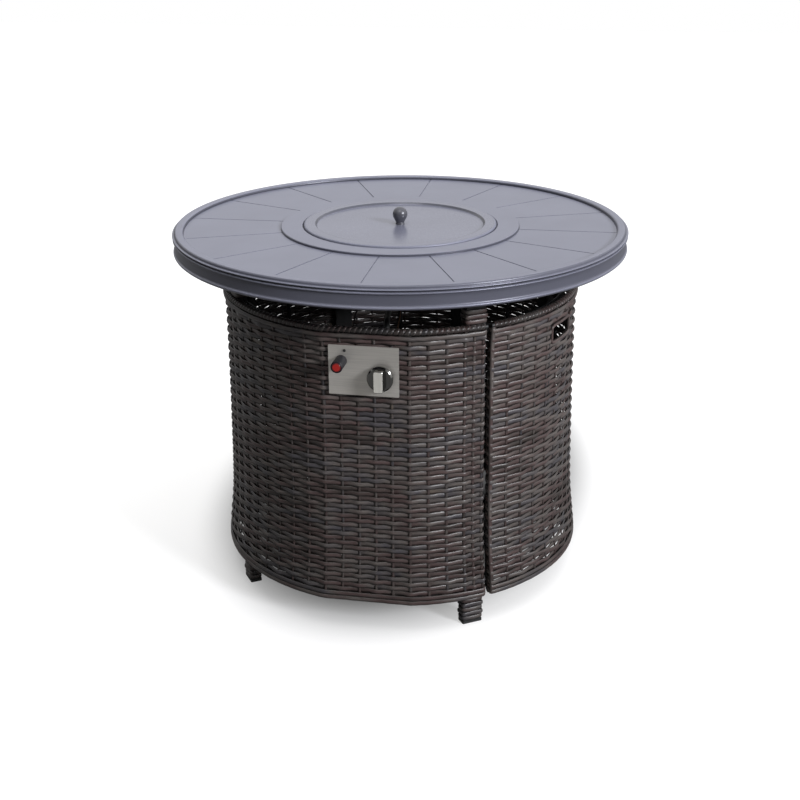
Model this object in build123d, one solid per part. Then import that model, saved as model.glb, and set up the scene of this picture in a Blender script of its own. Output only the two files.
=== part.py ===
from build123d import *
from math import asin, cos, degrees, pi, radians, sin, sqrt
import os

os.makedirs("parts", exist_ok=True)

# Round gas fire pit table, millimetres. The origin is on the floor under the table's axis, +Z is up and
# -Y is the front, square to the control plate. An azimuth is counted from the front towards +X.

# Clearances
fit = 0.3                # between pieces that only stand beside each other
running = 0.05           # radial, between a shaft and the hole it turns or slides in

# Table top
table_d = 813.0
table_h = 655.0
edge_profile = [         # moulded edge: inset from the table's radius, drop below its top
    (10.0, 0.0),
    (6.5, 0.4),
    (3.5, 1.4),
    (1.8, 2.9),
    (0.4, 4.2),
    (0.0, 5.4),
    (0.4, 6.7),
    (3.0, 7.5),
    (3.0, 9.4),
    (0.8, 10.3),
    (0.5, 11.7),
    (1.0, 13.2),
    (3.4, 14.6),
    (3.6, 31.8),
    (1.6, 33.0),
    (0.9, 34.8),
    (1.1, 36.8),
    (2.2, 38.6),
    (3.6, 39.5),
]
rim_width = 19.8
rim_height = 6.0         # rim above the slats
web = 5.0                # thickness of the casting under the slats
ring_r = 214.0           # raised ring round the lid
ring_height = 4.0
slat_count = 16
slat_turn = 1.4          # azimuth of the first groove
groove_width = 2.2
groove_depth = 1.8
opening_r = 174.7
ledge_width = 16.7
ledge_depth = 5.0        # ledge below the raised ring's top
skirt_wall = 8.6         # from the table's radius to the inside of its edge
soften = 1.2             # small bevels of the casting

# Lid
lid_gap = 1.5            # between the lid's edge and the opening
lid_proud = 2.6          # lid rim above the raised ring
lid_dish = 4.0
lid_dish_r = 149.0
lid_sheet = 4.0
knob_ball_r = 13.2
knob_neck_r = 7.5
knob_height = 31.0
knob_screw_r = 2.5
knob_screw_in = 16.0

# Legs
leg_width = 34.0
leg_depth = 18.0
leg_wall = 1.5
leg_outer_r = 314.5
leg_first = 34.0         # azimuth of the front right leg
wrap = 1.25              # thickness of the strand wrapped round a leg
foot_height = 5.0
foot_lip = 1.5
foot_plug = 16.0

# Woven wall, outside radius at heights above the floor
wall_bottom = 57.0
top_gap = 99.3           # from the table's top down to the wall's
waist_stand = 5.0        # from the legs' outer faces to the wall's waist
wall = 4.5
wall_top = table_h - top_gap
wall_waist = leg_outer_r + waist_stand
wall_flare = [           # heights, and how far the wall stands out beyond its waist
    (wall_bottom, 13.5),
    (85.0, 12.0),
    (120.0, 8.0),
    (190.0, 3.0),
    (300.0, 1.0),
    (420.0, 0.0),
    (wall_top - 30.7, 0.5),
    (wall_top - 16.0, 3.0),
    (wall_top, 3.0),
]
row_pitch = 8.566        # height of one woven row
row_relief = 2.0         # depth of the dip between two rows
rim_lip = 14.0           # height of the wrapped rim
rim_lip_depth = 12.5
facet_half = 13.4        # half angle of the flat facet
facet_upright = -24.2    # azimuth of the extra upright left of the facet

# Door
door_gap = 6.0
hole_turn = 73.0         # azimuth of the finger hole
hole_width = 76.0
hole_height = 28.0
hole_drop = 55.7         # from the wall's top to the hole's middle
peg_r = 4.0
peg_play = 0.4
peg_reach = 100.0        # of a peg from the door's middle line
peg_in = 34.5            # from the legs' inner faces to a peg's tip
peg_z = 70.0
catch_turn = 19.0        # of a magnet from the door's middle
magnet_width = 20.0
magnet_height = 12.0
strike_sheet = 3.5
strike_width = 24.0
strike_height = 20.0

# Rods and rings of the frame
bottom_rod_r = 6.4
top_rod_r = 3.5
top_rod_drop = 1.7       # from the wall's top to the rod
upright_r = 4.0
upright_spread = 22.0    # azimuth of an upright from the middle post of its panel
post_width = 25.0        # flat post in the middle of the left and rear panels
post_depth = 8.0
weld = 0.5               # how far one rod runs into another
ring_sheet = 3.0
ring_tall = 18.0
ring_flange = 8.0
upper_ring_drop = 27.7   # from the wall's top to the ring's
lower_ring_z = 62.0

# Cylinder tray
bar_width = 20.0
bar_height = 12.0
bar_spread = 70.0
tray_r = 165.0
tray_sheet = 1.5
tray_lip = 12.0

# Top brackets and bolts
bracket_sheet = 3.0
bracket_width = 44.0
bracket_reach = 62.0
bracket_drop = 46.0
gusset_sheet = 4.0
boss_r = 9.0
boss_depth = 6.0
bolt_r = 4.0
bolt_head_r = 6.5
bolt_head = 5.0
bolt_in = 8.0            # bolt's length inside the casting
bolt_inset = 38.0        # from the leg's inner face
bolt_spread = 13.0       # each side of the gusset

# Control plate
plate_w = 118.0
plate_h = 86.0
plate_sheet = 1.5
plate_x = -2.0
plate_drop = 73.7        # from the wall's top to the plate's middle
liner_sheet = 1.2
liner_depth = 14.0
liner_inset = 5.0
plate_screw_x = -33.6
plate_screw_rise = 34.0  # above the plate's middle
plate_screw_r = 1.6

# Control knob and valve
knob_x = 27.0
knob_drop = 9.5          # below the plate's middle
skirt_r = 22.0
skirt_thick = 6.0
knob_push = 3.0
knob_stand = 6.0         # from the plate to the skirt
grip_w = 16.4
grip_l = 37.0
grip_h = 14.0
stem_r = 4.0
stem_flat = 3.0          # flat of the stem from its axis
stem_in = 12.0           # stem's length inside the knob
rotor_r = 6.0
rotor_length = 24.0
rotor_inset = 6.0        # from the plate to the rotor
stem_grip = 14.0         # stem's length inside the rotor
valve_r = 14.0
valve_length = 58.0
valve_boss_r = 9.0
port_back = 48.0         # from the plate to the ports
port_drop = 22.0
inlet_r = 7.94
inlet_length = 12.0
valve_screw_r = 2.0
valve_screw_place = 9.5
valve_screw_head = 2.0
screw_in = 8.0           # screws' length behind the plate

# Igniter
igniter_x = -39.5
igniter_rise = 16.0      # above the plate's middle
barrel_r = 9.9
barrel_length = 34.2
button_r = 7.8
button_proud = 0.8
button_travel = 4.0
button_length = 12.0
spring_room = 4.0        # left for the coil when the button is pressed
plunger_r = 3.8
neck_r = 7.0
neck_in = 8.0
igniter_length = 42.0
lock_nut_af = 22.0
lock_nut_thick = 5.0

# Burner
pan_sheet = 1.2
pan_r = 150.5
pan_floor_r = 136.0
pan_depth = 64.0
pan_flange_r = 171.5
burner_r = 95.0
burner_tube_r = 8.0
burner_rise = 23.0       # from the pan's floor to the ring's axis
port_count = 24
port_r = 1.25
hub_r = 16.0
spoke_r = 6.0
burner_stem_r = 10.0
burner_stem = 24.0
pan_nut_af = 34.0
pan_nut_thick = 8.0
elbow_r = 13.0
elbow_height = 24.0
elbow_arm_r = 9.0
elbow_arm = 26.0
feed_r = 5.0
feed_run = 45.0          # straight end of the feed tube at the elbow
feed_bends = [22, 60]    # radii from the valve to the elbow
sensor_x = 18.0
sensor_y = -119.0
rod_ceramic_r = 3.5
lead_r = 1.5
couple_r = 1.2

# Worked out from the sizes above
table_r = table_d / 2
slat_z = table_h - rim_height
raised_z = slat_z + ring_height
ledge_z = raised_z - ledge_depth
web_z = slat_z - web
edge_z = table_h - edge_profile[-1][1]
lid_r = opening_r - lid_gap
lid_seat = ledge_z + pan_sheet + fit / 2
lid_top = raised_z + lid_proud
dish_z = lid_top - lid_dish
boss_z = web_z - boss_depth
leg_top = boss_z - bracket_sheet
leg_r = leg_outer_r - leg_depth / 2
leg_inner_r = leg_outer_r - leg_depth
leg_corner_r = sqrt(leg_outer_r ** 2 + (leg_width / 2) ** 2)
bolt_y = -(leg_inner_r - bolt_inset)
leg_names = ("front_right", "rear_right", "rear_left", "front_left")
leg_turns = [leg_first + 90 * k for k in range(4)]
wrap_half = degrees(asin((leg_width / 2 + wrap) / leg_outer_r))
gap_turn = degrees(door_gap / wall_waist)
door_from = leg_turns[0] + wrap_half + gap_turn
door_to = leg_turns[1] - wrap_half - gap_turn
door_mid = (leg_turns[0] + leg_turns[1]) / 2
facet_cos = cos(radians(facet_half))
lip_z = wall_top - rim_lip
row_count = int((lip_z - wall_bottom) / row_pitch)
hole_z = wall_top - hole_drop
peg_tip = leg_inner_r - peg_in
upper_ring_z = wall_top - upper_ring_drop
plate_z = wall_top - plate_drop
plate_screw_place = (plate_screw_x, plate_z + plate_screw_rise)
knob_z = plate_z - knob_drop
igniter_z = plate_z + igniter_rise
top_rod_z = wall_top - top_rod_r - top_rod_drop
top_rod_ring = leg_corner_r + top_rod_r
bottom_rod_z = wall_bottom + bottom_rod_r
bottom_rod_ring = leg_corner_r + bottom_rod_r
upright_ring = leg_corner_r - upright_r + weld
bar_z = lower_ring_z + ring_sheet
bar_top = bar_z + bar_height
plate_back = -(wall_waist + 0.8) * facet_cos
plate_front = plate_back - plate_sheet
knob_back = plate_front - knob_stand
port_y = plate_back + port_back
barrel_front = plate_front - barrel_length
spring_back = barrel_front + button_length - button_proud + button_travel + spring_room
strike_z = upper_ring_z + 3.0
strike_face = sqrt(leg_corner_r ** 2 - (strike_width / 2) ** 2)
pan_floor_z = ledge_z - pan_depth
burner_z = pan_floor_z + burner_rise
stem_bottom = pan_floor_z - burner_stem

wall_line = [(z, wall_waist + out) for z, out in wall_flare]
rim_r = wall_line[-1][1]


def spot(turn, r, z=0.0):
    # The point at an azimuth, a radius and a height
    return Vector(r * sin(radians(turn)), -r * cos(radians(turn)), z)


def turned(turn, shape):
    # A shape that was made facing the front, turned to its azimuth
    return Rot(0, 0, turn) * shape


def spun(points, arc=360.0, start=0.0):
    # Outline of radii and heights turned about the table's axis, from the azimuth start
    face = make_face(Plane.XZ * Polyline(*points, close=True))
    return Rot(0, 0, start - 90) * revolve(face, Axis.Z, arc)


def upright_tube(r, z0, z1, x=0.0, y=0.0):
    return Pos(x, y, z0) * Cylinder(r, z1 - z0, align=(Align.CENTER, Align.CENTER, Align.MIN))


def front_rod(r, y0, y1, x, z):
    # Cylinder along Y between two distances, y0 nearer the front
    rod = Cylinder(r, y1 - y0, align=(Align.CENTER, Align.CENTER, Align.MIN))
    return Pos(x, y0, z) * Rot(-90, 0, 0) * rod


def between(a, b, r):
    # Straight rod from point to point
    plane = Plane(origin=a, z_dir=b - a)
    return plane * Cylinder(r, (b - a).length, align=(Align.CENTER, Align.CENTER, Align.MIN))


def hexagon_nut(across_flats, bore_r, thick):
    # Nut on the XY plane, centred, with its bore
    body = extrude(RegularPolygon(across_flats / 2, 6, major_radius=False), thick)
    return body - upright_tube(bore_r, -1, thick + 1)


def block(size, x, y, z):
    # Box centred on x and y, standing on z
    return Pos(x, y, z) * Box(*size, align=(Align.CENTER, Align.CENTER, Align.MIN))


def wedge(turn0, turn1):
    # Tall sector between two azimuths, for cutting a wall to its stretch
    far = table_d
    middle = (turn0 + turn1) / 2
    corners = [Vector(0, 0), spot(turn0, far), spot(middle, 2 * far), spot(turn1, far)]
    return extrude(make_face(Polyline(*corners, close=True)), table_h)


def body_outline(r, z):
    # Plan of the body: a circle with the flat facet at the front
    left = spot(-facet_half, r, z)
    right = spot(facet_half, r, z)
    back = spot(180, r, z)
    return make_face(ThreePointArc(right, back, left) + Line(left, right))


def body_solid(line):
    return loft([body_outline(r, z) for z, r in line], ruled=True)


def body_rod(ring, z, r, turn0, turn1):
    # Round rod that follows the body's plan between two azimuths
    stops = [turn0, turn1]
    if turn0 < -facet_half and turn1 > facet_half:
        stops = [turn0, -facet_half, facet_half, turn1]
    rod = None
    for a, b in zip(stops, stops[1:]):
        if a == -facet_half:
            piece = between(spot(a, ring, z), spot(b, ring, z), r)
        else:
            circle = Pos(ring, 0, z) * Rot(90, 0, 0) * Circle(r)
            piece = Rot(0, 0, a - 90) * revolve(circle, Axis.Z, b - a)
        rod = piece if rod is None else rod + piece
    for a in stops[1:-1]:
        rod = rod + Pos(*spot(a, ring, z)) * Sphere(r)
    return rod


def leg_block(turn, grow, z0, z1):
    # Room taken by one leg, grown all round
    size = (leg_width + 2 * grow, leg_depth + 2 * grow, z1 - z0)
    return turned(turn, block(size, 0, -leg_r, z0))


def wall_radius(z):
    for (z0, r0), (z1, r1) in zip(wall_line, wall_line[1:]):
        if z <= z1:
            return r0 + (r1 - r0) * (z - z0) / (z1 - z0)
    return rim_r


def woven_line():
    # Outside of the wall, one ridge for each row of strands, up to the rim
    line = []
    for k in range(row_count):
        z = wall_bottom + k * row_pitch
        ridge = z + row_pitch / 2
        line.append((z, wall_radius(z) - row_relief))
        line.append((ridge, wall_radius(ridge)))
    top = wall_bottom + row_count * row_pitch
    return line + [(top, wall_radius(top) - row_relief), (lip_z, wall_radius(lip_z)), (wall_top, rim_r)]


def whole_wall():
    # The woven wall all the way round, with its thicker wrapped rim
    inner = [(z, r - wall) for z, r in wall_line]
    inner[0] = (wall_bottom - 1, inner[0][1])
    inner[-1] = (wall_top + 1, inner[-1][1])
    shell = body_solid(woven_line()) - body_solid(inner)
    lip = body_solid([(lip_z, rim_r), (wall_top, rim_r)])
    core = body_solid([(lip_z - 1, rim_r - rim_lip_depth), (wall_top + 1, rim_r - rim_lip_depth)])
    return shell + (lip - core)


def table_top():
    skirt_r = table_r - skirt_wall
    inner_side = [
        (opening_r - ledge_width, ledge_z - web),
        (opening_r - ledge_width, ledge_z),
        (opening_r, ledge_z),
        (opening_r, raised_z - soften),
        (opening_r + soften, raised_z),
        (ring_r - soften, raised_z),
        (ring_r, raised_z - soften),
        (ring_r, slat_z),
        (table_r - rim_width, slat_z),
        (table_r - rim_width, table_h - soften),
        (table_r - rim_width + soften, table_h),
    ]
    outer_side = [(table_r - inset, table_h - drop) for inset, drop in edge_profile]
    under_side = [
        (skirt_r, edge_z),
        (skirt_r, web_z - 2),
        (skirt_r - 2, web_z),
        (opening_r + 6, web_z),
        (opening_r + 4, ledge_z - web),
    ]
    top = spun(inner_side + outer_side + under_side)
    reach = table_r - rim_width - ring_r - 0.6
    groove = block((groove_width, reach, groove_depth + 1), 0, -(ring_r + 0.3 + reach / 2), slat_z - groove_depth)
    for k in range(slat_count):
        top = top - turned(slat_turn + k * 360 / slat_count, groove)
    for turn in leg_turns:
        for x in (-bolt_spread, bolt_spread):
            boss = upright_tube(boss_r, boss_z, web_z + 1, x, bolt_y)
            hole = upright_tube(bolt_r + running, boss_z - 1, boss_z + bolt_in + 1, x, bolt_y)
            top = top + turned(turn, boss) - turned(turn, hole)
    return top


def lid():
    return spun([
        (0, dish_z - lid_sheet),
        (lid_dish_r - 1, dish_z - lid_sheet),
        (lid_dish_r + 1, lid_seat),
        (lid_r, lid_seat),
        (lid_r, lid_top - 2.4),
        (lid_r - 0.8, lid_top - 0.8),
        (lid_r - 2.4, lid_top),
        (lid_dish_r + 3.4, lid_top),
        (lid_dish_r, dish_z),
        (0, dish_z),
    ]) - upright_tube(knob_screw_r + running, dish_z - lid_sheet - 1, dish_z + 1)


def lid_knob():
    # Ball that narrows to a neck, then widens a little at its foot
    ball_z = dish_z + knob_height - knob_ball_r
    lean = radians(22)
    slope = radians(45)
    side = Vector(knob_ball_r * cos(lean), ball_z - knob_ball_r * sin(lean))
    shoulder = Vector(knob_ball_r * sin(slope), ball_z + knob_ball_r * cos(slope))
    tip = Vector(0, ball_z + knob_ball_r)
    foot = Vector(knob_neck_r + 0.8, dish_z)
    neck = Vector(knob_neck_r, dish_z + 3.5)
    outline = Polyline((0, dish_z), foot, neck, side)
    outline += ThreePointArc(side, shoulder, tip)
    outline += Line(tip, (0, dish_z))
    knob = revolve(make_face(Plane.XZ * outline), Axis.Z)
    return knob - upright_tube(knob_screw_r, dish_z - 1, dish_z + knob_screw_in)


def lid_knob_screw():
    shank = upright_tube(knob_screw_r, dish_z - lid_sheet, dish_z + knob_screw_in)
    head = upright_tube(2 * knob_screw_r, dish_z - lid_sheet - 2.5, dish_z - lid_sheet)
    return shank + head


def leg(turn):
    outer = block((leg_width, leg_depth, leg_top - foot_height), 0, -leg_r, foot_height)
    hollow = block((leg_width - 2 * leg_wall, leg_depth - 2 * leg_wall, leg_top), 0, -leg_r, foot_height - 1)
    return turned(turn, outer - hollow)


def foot_cap(turn):
    lip = block((leg_width + 2 * foot_lip, leg_depth + 2 * foot_lip, foot_height), 0, -leg_r, 0)
    plug_w = leg_width - 2 * leg_wall
    plug_d = leg_depth - 2 * leg_wall
    plug = block((plug_w, plug_d, foot_plug), 0, -leg_r, foot_height)
    return turned(turn, fillet(lip.edges().filter_by(Axis.Z), 2.0) + plug)


def leg_wrap(turn):
    # Strand wrapped round the leg where it shows, below the wall and above it
    below = leg_block(turn, wrap, foot_height + 1, wall_bottom - fit)
    above = leg_block(turn, wrap, wall_top + fit, leg_top - bracket_drop - fit)
    core = leg_block(turn, 0, 0, leg_top + 1)
    return Compound([below - core, above - core])


def top_bracket(turn):
    # Flange under the casting with a gusset welded to the leg's inner face
    outer_y = -leg_outer_r
    inner_y = -(leg_inner_r - bracket_reach)
    flange_size = (bracket_width, inner_y - outer_y, bracket_sheet)
    flange = block(flange_size, 0, (outer_y + inner_y) / 2, leg_top)
    foot = leg_top - bracket_drop
    corners = [(-leg_inner_r, foot), (-leg_inner_r, leg_top), (inner_y, leg_top), (inner_y, leg_top - 6)]
    gusset_face = make_face(Plane.YZ * Polyline(*corners, close=True))
    gusset = extrude(gusset_face, gusset_sheet / 2, both=True)
    pad = block((leg_width, bracket_sheet, bracket_drop), 0, -(leg_inner_r - bracket_sheet / 2), foot)
    bracket = flange + gusset + pad
    for x in (-bolt_spread, bolt_spread):
        bracket = bracket - upright_tube(bolt_r + running, leg_top - 1, boss_z + 1, x, bolt_y)
    return turned(turn, bracket)


def top_bolts():
    # Two bolts through each bracket, up into the bosses
    bolts = []
    for turn in leg_turns:
        for x in (-bolt_spread, bolt_spread):
            shank = upright_tube(bolt_r, leg_top, boss_z + bolt_in, x, bolt_y)
            head = extrude(RegularPolygon(bolt_head_r, 6), bolt_head)
            bolts.append(turned(turn, shank + Pos(x, bolt_y, leg_top - bolt_head) * head))
    return Compound(bolts)


def upper_ring():
    inner = leg_inner_r - ring_sheet
    top = upper_ring_z + ring_tall
    return spun([(inner, upper_ring_z), (leg_inner_r, upper_ring_z), (leg_inner_r, top), (inner, top)])


def lower_ring():
    # Angle ring: its flange carries the cross bars, and its wall takes the door's pegs
    inner = leg_inner_r - ring_sheet
    top = lower_ring_z + ring_tall
    ring = spun([
        (inner - ring_flange, lower_ring_z),
        (leg_inner_r, lower_ring_z),
        (leg_inner_r, top),
        (inner, top),
        (inner, bar_z),
        (inner - ring_flange, bar_z),
    ])
    for x in (-peg_reach, peg_reach):
        hole = front_rod(peg_r + peg_play, -leg_outer_r, -peg_tip, x, peg_z)
        ring = ring - turned(door_mid, hole)
    return ring


def cross_bar(y):
    bar = block((2 * leg_inner_r, bar_width, bar_height), 0, y, bar_z)
    return bar & upright_tube(leg_inner_r - ring_sheet, bar_z, bar_top)


def tank_tray():
    inner = tray_r - tray_sheet
    floor = bar_top + tray_sheet
    top = bar_top + tray_lip
    return spun([(0, bar_top), (tray_r, bar_top), (tray_r, top), (inner, top), (inner, floor), (0, floor)])


def rod_frame(turn0, turn1, uprights, posts=()):
    # Top and bottom rods on the legs' outer faces, with uprights and flat posts welded inside them
    frame = body_rod(bottom_rod_ring, bottom_rod_z, bottom_rod_r, turn0, turn1)
    frame = frame + body_rod(top_rod_ring, top_rod_z, top_rod_r, turn0, turn1)
    for turn in uprights:
        place = spot(turn, upright_ring)
        frame = frame + upright_tube(upright_r, bottom_rod_z, top_rod_z, place.X, place.Y)
    middle = leg_corner_r + weld - post_depth / 2
    for turn in posts:
        post = block((post_width, post_depth, top_rod_z - bottom_rod_z), 0, -middle, bottom_rod_z)
        frame = frame + turned(turn, post)
    return frame


def wall_stretch(turn0, turn1, frame):
    # Part of the woven wall, with room for its rods and for the legs
    stretch = (whole_woven & wedge(turn0, turn1)) - frame
    for turn in leg_turns:
        stretch = stretch - leg_block(turn, 0, 0, leg_top)
    return stretch


def window_block(grow, depth0, depth1):
    # Room of the cut-out behind the control plate
    width = plate_w - 2 * liner_inset + 2 * grow
    height = plate_h - 2 * liner_inset + 2 * grow
    middle = plate_back + (depth0 + depth1) / 2
    return block((width, depth1 - depth0, height), plate_x, middle, plate_z - height / 2)


def window_liner():
    # Sheet frame that lines the cut-out, with a lug for the plate's screw
    x, z = plate_screw_place
    top = plate_z + plate_h / 2 - liner_inset - liner_sheet
    frame = window_block(0, 0, liner_depth) - window_block(-liner_sheet, -1, liner_depth + 1)
    lug_bottom = igniter_z + lock_nut_af / sqrt(3) + fit
    lug = block((10, liner_depth - 4, top - lug_bottom), x, plate_back + liner_depth / 2 - 2, lug_bottom)
    return frame + lug - front_rod(plate_screw_r, plate_back - 1, plate_back + liner_depth, x, z)


def control_plate():
    plate = block((plate_w, plate_sheet, plate_h), plate_x, plate_back - plate_sheet / 2, plate_z - plate_h / 2)
    plate = fillet(plate.edges().filter_by(Axis.Y), 1.5)
    y0 = plate_front - 1
    y1 = plate_back + 1
    plate = plate - front_rod(stem_r + 1, y0, y1, knob_x, knob_z)
    plate = plate - front_rod(neck_r + running, y0, y1, igniter_x, igniter_z)
    plate = plate - front_rod(plate_screw_r, y0, y1, *plate_screw_place)
    for side in (-valve_screw_place, valve_screw_place):
        plate = plate - front_rod(valve_screw_r, y0, y1, knob_x + side, knob_z)
    return plate


def plate_screw():
    x, z = plate_screw_place
    head = front_rod(plate_screw_r + 0.8, plate_front - 1.2, plate_front, x, z)
    return head + front_rod(plate_screw_r, plate_front, plate_back + screw_in, x, z)


def valve_screws():
    screws = []
    for side in (-valve_screw_place, valve_screw_place):
        head = front_rod(valve_screw_r + 1.5, plate_front - valve_screw_head, plate_front, knob_x + side, knob_z)
        screws.append(head + front_rod(valve_screw_r, plate_front, plate_back + screw_in, knob_x + side, knob_z))
    return Compound(screws)


def valve_body():
    body = front_rod(valve_r, plate_back, plate_back + valve_length, knob_x, knob_z)
    body = body + upright_tube(valve_boss_r, knob_z - port_drop, knob_z + port_drop, knob_x, port_y)
    bore_end = plate_back + rotor_inset + rotor_length + running
    body = body - front_rod(rotor_r + running, plate_back - 1, bore_end, knob_x, knob_z)
    for side in (-valve_screw_place, valve_screw_place):
        body = body - front_rod(valve_screw_r, plate_back - 1, plate_back + screw_in, knob_x + side, knob_z)
    return body


def keyed_rod(r, flat, y0, y1):
    # Round rod on the knob's axis with one flat on top
    rod = front_rod(r, y0, y1, knob_x, knob_z)
    return rod - block((2 * r, 2 * (y1 - y0), r), knob_x, (y0 + y1) / 2, knob_z + flat)


def valve_rotor():
    front = plate_back + rotor_inset
    rotor = front_rod(rotor_r, front, front + rotor_length, knob_x, knob_z)
    slot_end = front + stem_grip + knob_push + 1
    return rotor - keyed_rod(stem_r + running, stem_flat + running, front - 1, slot_end)


def valve_stem():
    tip = plate_back + rotor_inset + stem_grip
    return keyed_rod(stem_r, stem_flat, knob_back - stem_in, tip)


def control_knob():
    # Round skirt with a raised bar to grip, bored for the stem
    skirt = front_rod(skirt_r, knob_back - skirt_thick, knob_back, knob_x, knob_z)
    skirt = chamfer(skirt.faces().sort_by(Axis.Y)[0].edges(), 2.5)
    bar_front = knob_back - skirt_thick - grip_h
    bar = block((grip_w, grip_h + 2, grip_l), knob_x, bar_front + grip_h / 2 + 1, knob_z - grip_l / 2)
    bar = fillet(bar.edges().filter_by(Axis.Y), 3.0)
    bar = chamfer(bar.faces().sort_by(Axis.Y)[0].edges(), 1.2)
    cup = front_rod(skirt_r - 3.0, knob_back - 2.0, knob_back + 1, knob_x, knob_z)
    boss = front_rod(stem_r + 3.0, knob_back - 3.0, knob_back, knob_x, knob_z)
    return (skirt + bar - cup + boss) - keyed_rod(stem_r, stem_flat, knob_back - stem_in, knob_back + 1)


def inlet_fitting():
    return upright_tube(inlet_r, knob_z - port_drop - inlet_length, knob_z - port_drop, knob_x, port_y)


def igniter_barrel():
    barrel = front_rod(barrel_r, barrel_front, plate_front, igniter_x, igniter_z)
    barrel = chamfer(barrel.faces().sort_by(Axis.Y)[0].edges(), 0.8)
    barrel = barrel - front_rod(button_r + fit, barrel_front - 1, spring_back, igniter_x, igniter_z)
    barrel = barrel - front_rod(neck_r, plate_front - neck_in, plate_front + 1, igniter_x, igniter_z)
    return barrel - front_rod(plunger_r + fit, barrel_front, plate_front, igniter_x, igniter_z)


def igniter_button():
    front = barrel_front - button_proud
    cap = front_rod(button_r, front, front + button_length, igniter_x, igniter_z)
    cap = fillet(cap.faces().sort_by(Axis.Y)[0].edges(), 1.5)
    return cap + front_rod(plunger_r, front + button_length, plate_front - button_travel, igniter_x, igniter_z)


def igniter_spring():
    # Coil at the length that it is pressed to, on the barrel's shoulder round the plunger
    front = spring_back - spring_room + fit / 2
    coil = front_rod(button_r - 0.6, front, spring_back, igniter_x, igniter_z)
    return coil - front_rod(plunger_r + fit, front - 1, spring_back + 1, igniter_x, igniter_z)


def igniter_lock_nut():
    nut = hexagon_nut(lock_nut_af, neck_r, lock_nut_thick)
    return Pos(igniter_x, plate_back, igniter_z) * Rot(-90, 0, 0) * nut


def igniter_body():
    shoulder = plate_back + lock_nut_thick
    neck = front_rod(neck_r, plate_front - neck_in, shoulder, igniter_x, igniter_z)
    case = front_rod(neck_r + 2, shoulder, shoulder + igniter_length, igniter_x, igniter_z)
    well = front_rod(plunger_r + fit, plate_front - neck_in - 1, plate_back + 2, igniter_x, igniter_z)
    return neck + case - well


def burner_pan():
    floor = pan_floor_z
    pan = spun([
        (0, floor - pan_sheet),
        (pan_floor_r + 0.9, floor - pan_sheet),
        (pan_r + 1.1, ledge_z),
        (pan_flange_r, ledge_z),
        (pan_flange_r, ledge_z + pan_sheet),
        (pan_r, ledge_z + pan_sheet),
        (pan_floor_r, floor),
        (0, floor),
    ])
    pan = pan - upright_tube(burner_stem_r + running, floor - 5, floor + 1)
    pan = pan - upright_tube(rod_ceramic_r + 0.4, floor - 5, floor + 1, -sensor_x, sensor_y)
    return pan - upright_tube(couple_r + 0.4, floor - 5, floor + 1, sensor_x, sensor_y)


def burner():
    # Hollow ring with ports on top, four spokes and a hub that stands on the pan
    ring = Pos(0, 0, burner_z) * Torus(burner_r, burner_tube_r)
    hollow = Pos(0, 0, burner_z) * Torus(burner_r, burner_tube_r - 1.2)
    port = upright_tube(port_r, burner_z, burner_z + 2 * burner_tube_r, 0, -burner_r)
    tube = ring - hollow
    for k in range(port_count):
        tube = tube - Rot(0, 0, (k + 0.5) * 360 / port_count) * port
    hub_top = burner_z + burner_tube_r + 2
    hub = upright_tube(hub_r, pan_floor_z, hub_top) + upright_tube(burner_stem_r, stem_bottom, pan_floor_z)
    hub = chamfer(hub.faces().sort_by(Axis.Z)[-1].edges(), 2.0)
    reach = burner_r - burner_tube_r + 0.4
    for k in range(4):
        spoke = between(Vector(0, 0, burner_z), spot(45 + 90 * k, reach, burner_z), spoke_r)
        hub = hub + spoke
    return tube + hub


def pan_nut():
    return Pos(0, 0, pan_floor_z - pan_sheet - pan_nut_thick) * hexagon_nut(pan_nut_af, burner_stem_r, pan_nut_thick)


def mixer_elbow():
    bend_z = stem_bottom - elbow_height / 2
    elbow = upright_tube(elbow_r, stem_bottom - elbow_height, stem_bottom)
    return elbow + front_rod(elbow_arm_r, -elbow_arm, 0, 0, bend_z)


def bent_tube(points, radii, r):
    path = FilletPolyline(*points, radius=radii)
    section = Plane(origin=path @ 0, z_dir=path % 0) * Circle(r)
    tube = sweep(section, path=path)
    print("tube", r, "volume", round(tube.volume), "section times length", round(pi * r * r * path.length))
    return tube


def feed_tube():
    bend_z = stem_bottom - elbow_height / 2
    points = [
        (knob_x, port_y, knob_z + port_drop),
        (knob_x, port_y, bend_z),
        (0, -elbow_arm - feed_run, bend_z),
        (0, -elbow_arm, bend_z),
    ]
    return bent_tube(points, feed_bends, feed_r)


def electrode():
    # Ceramic rod with a thin tip that leans towards the burner
    foot = pan_floor_z - 16
    top = pan_floor_z + 24
    ceramic = upright_tube(rod_ceramic_r, foot, top, -sensor_x, sensor_y)
    a = Vector(-sensor_x, sensor_y, top)
    b = a + Vector(0, 0, 7)
    c = b + Vector(1, 9, 5)
    return ceramic + between(a, b, 1) + Pos(*b) * Sphere(1) + between(b, c, 1)


def thermocouple():
    # Tip in the burner's flame and its thin tube down to the back of the valve
    back = plate_back + valve_length
    tip_z = pan_floor_z + 10
    points = [
        (knob_x, back, knob_z),
        (knob_x, back + 24, knob_z),
        (knob_x + 15, back + 40, stem_bottom - 4),
        (sensor_x, sensor_y, stem_bottom),
        (sensor_x, sensor_y, tip_z),
    ]
    tube = bent_tube(points, [14, 18, 10], couple_r)
    return tube + upright_tube(2.2, tip_z - 1, tip_z + 18, sensor_x, sensor_y)


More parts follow.
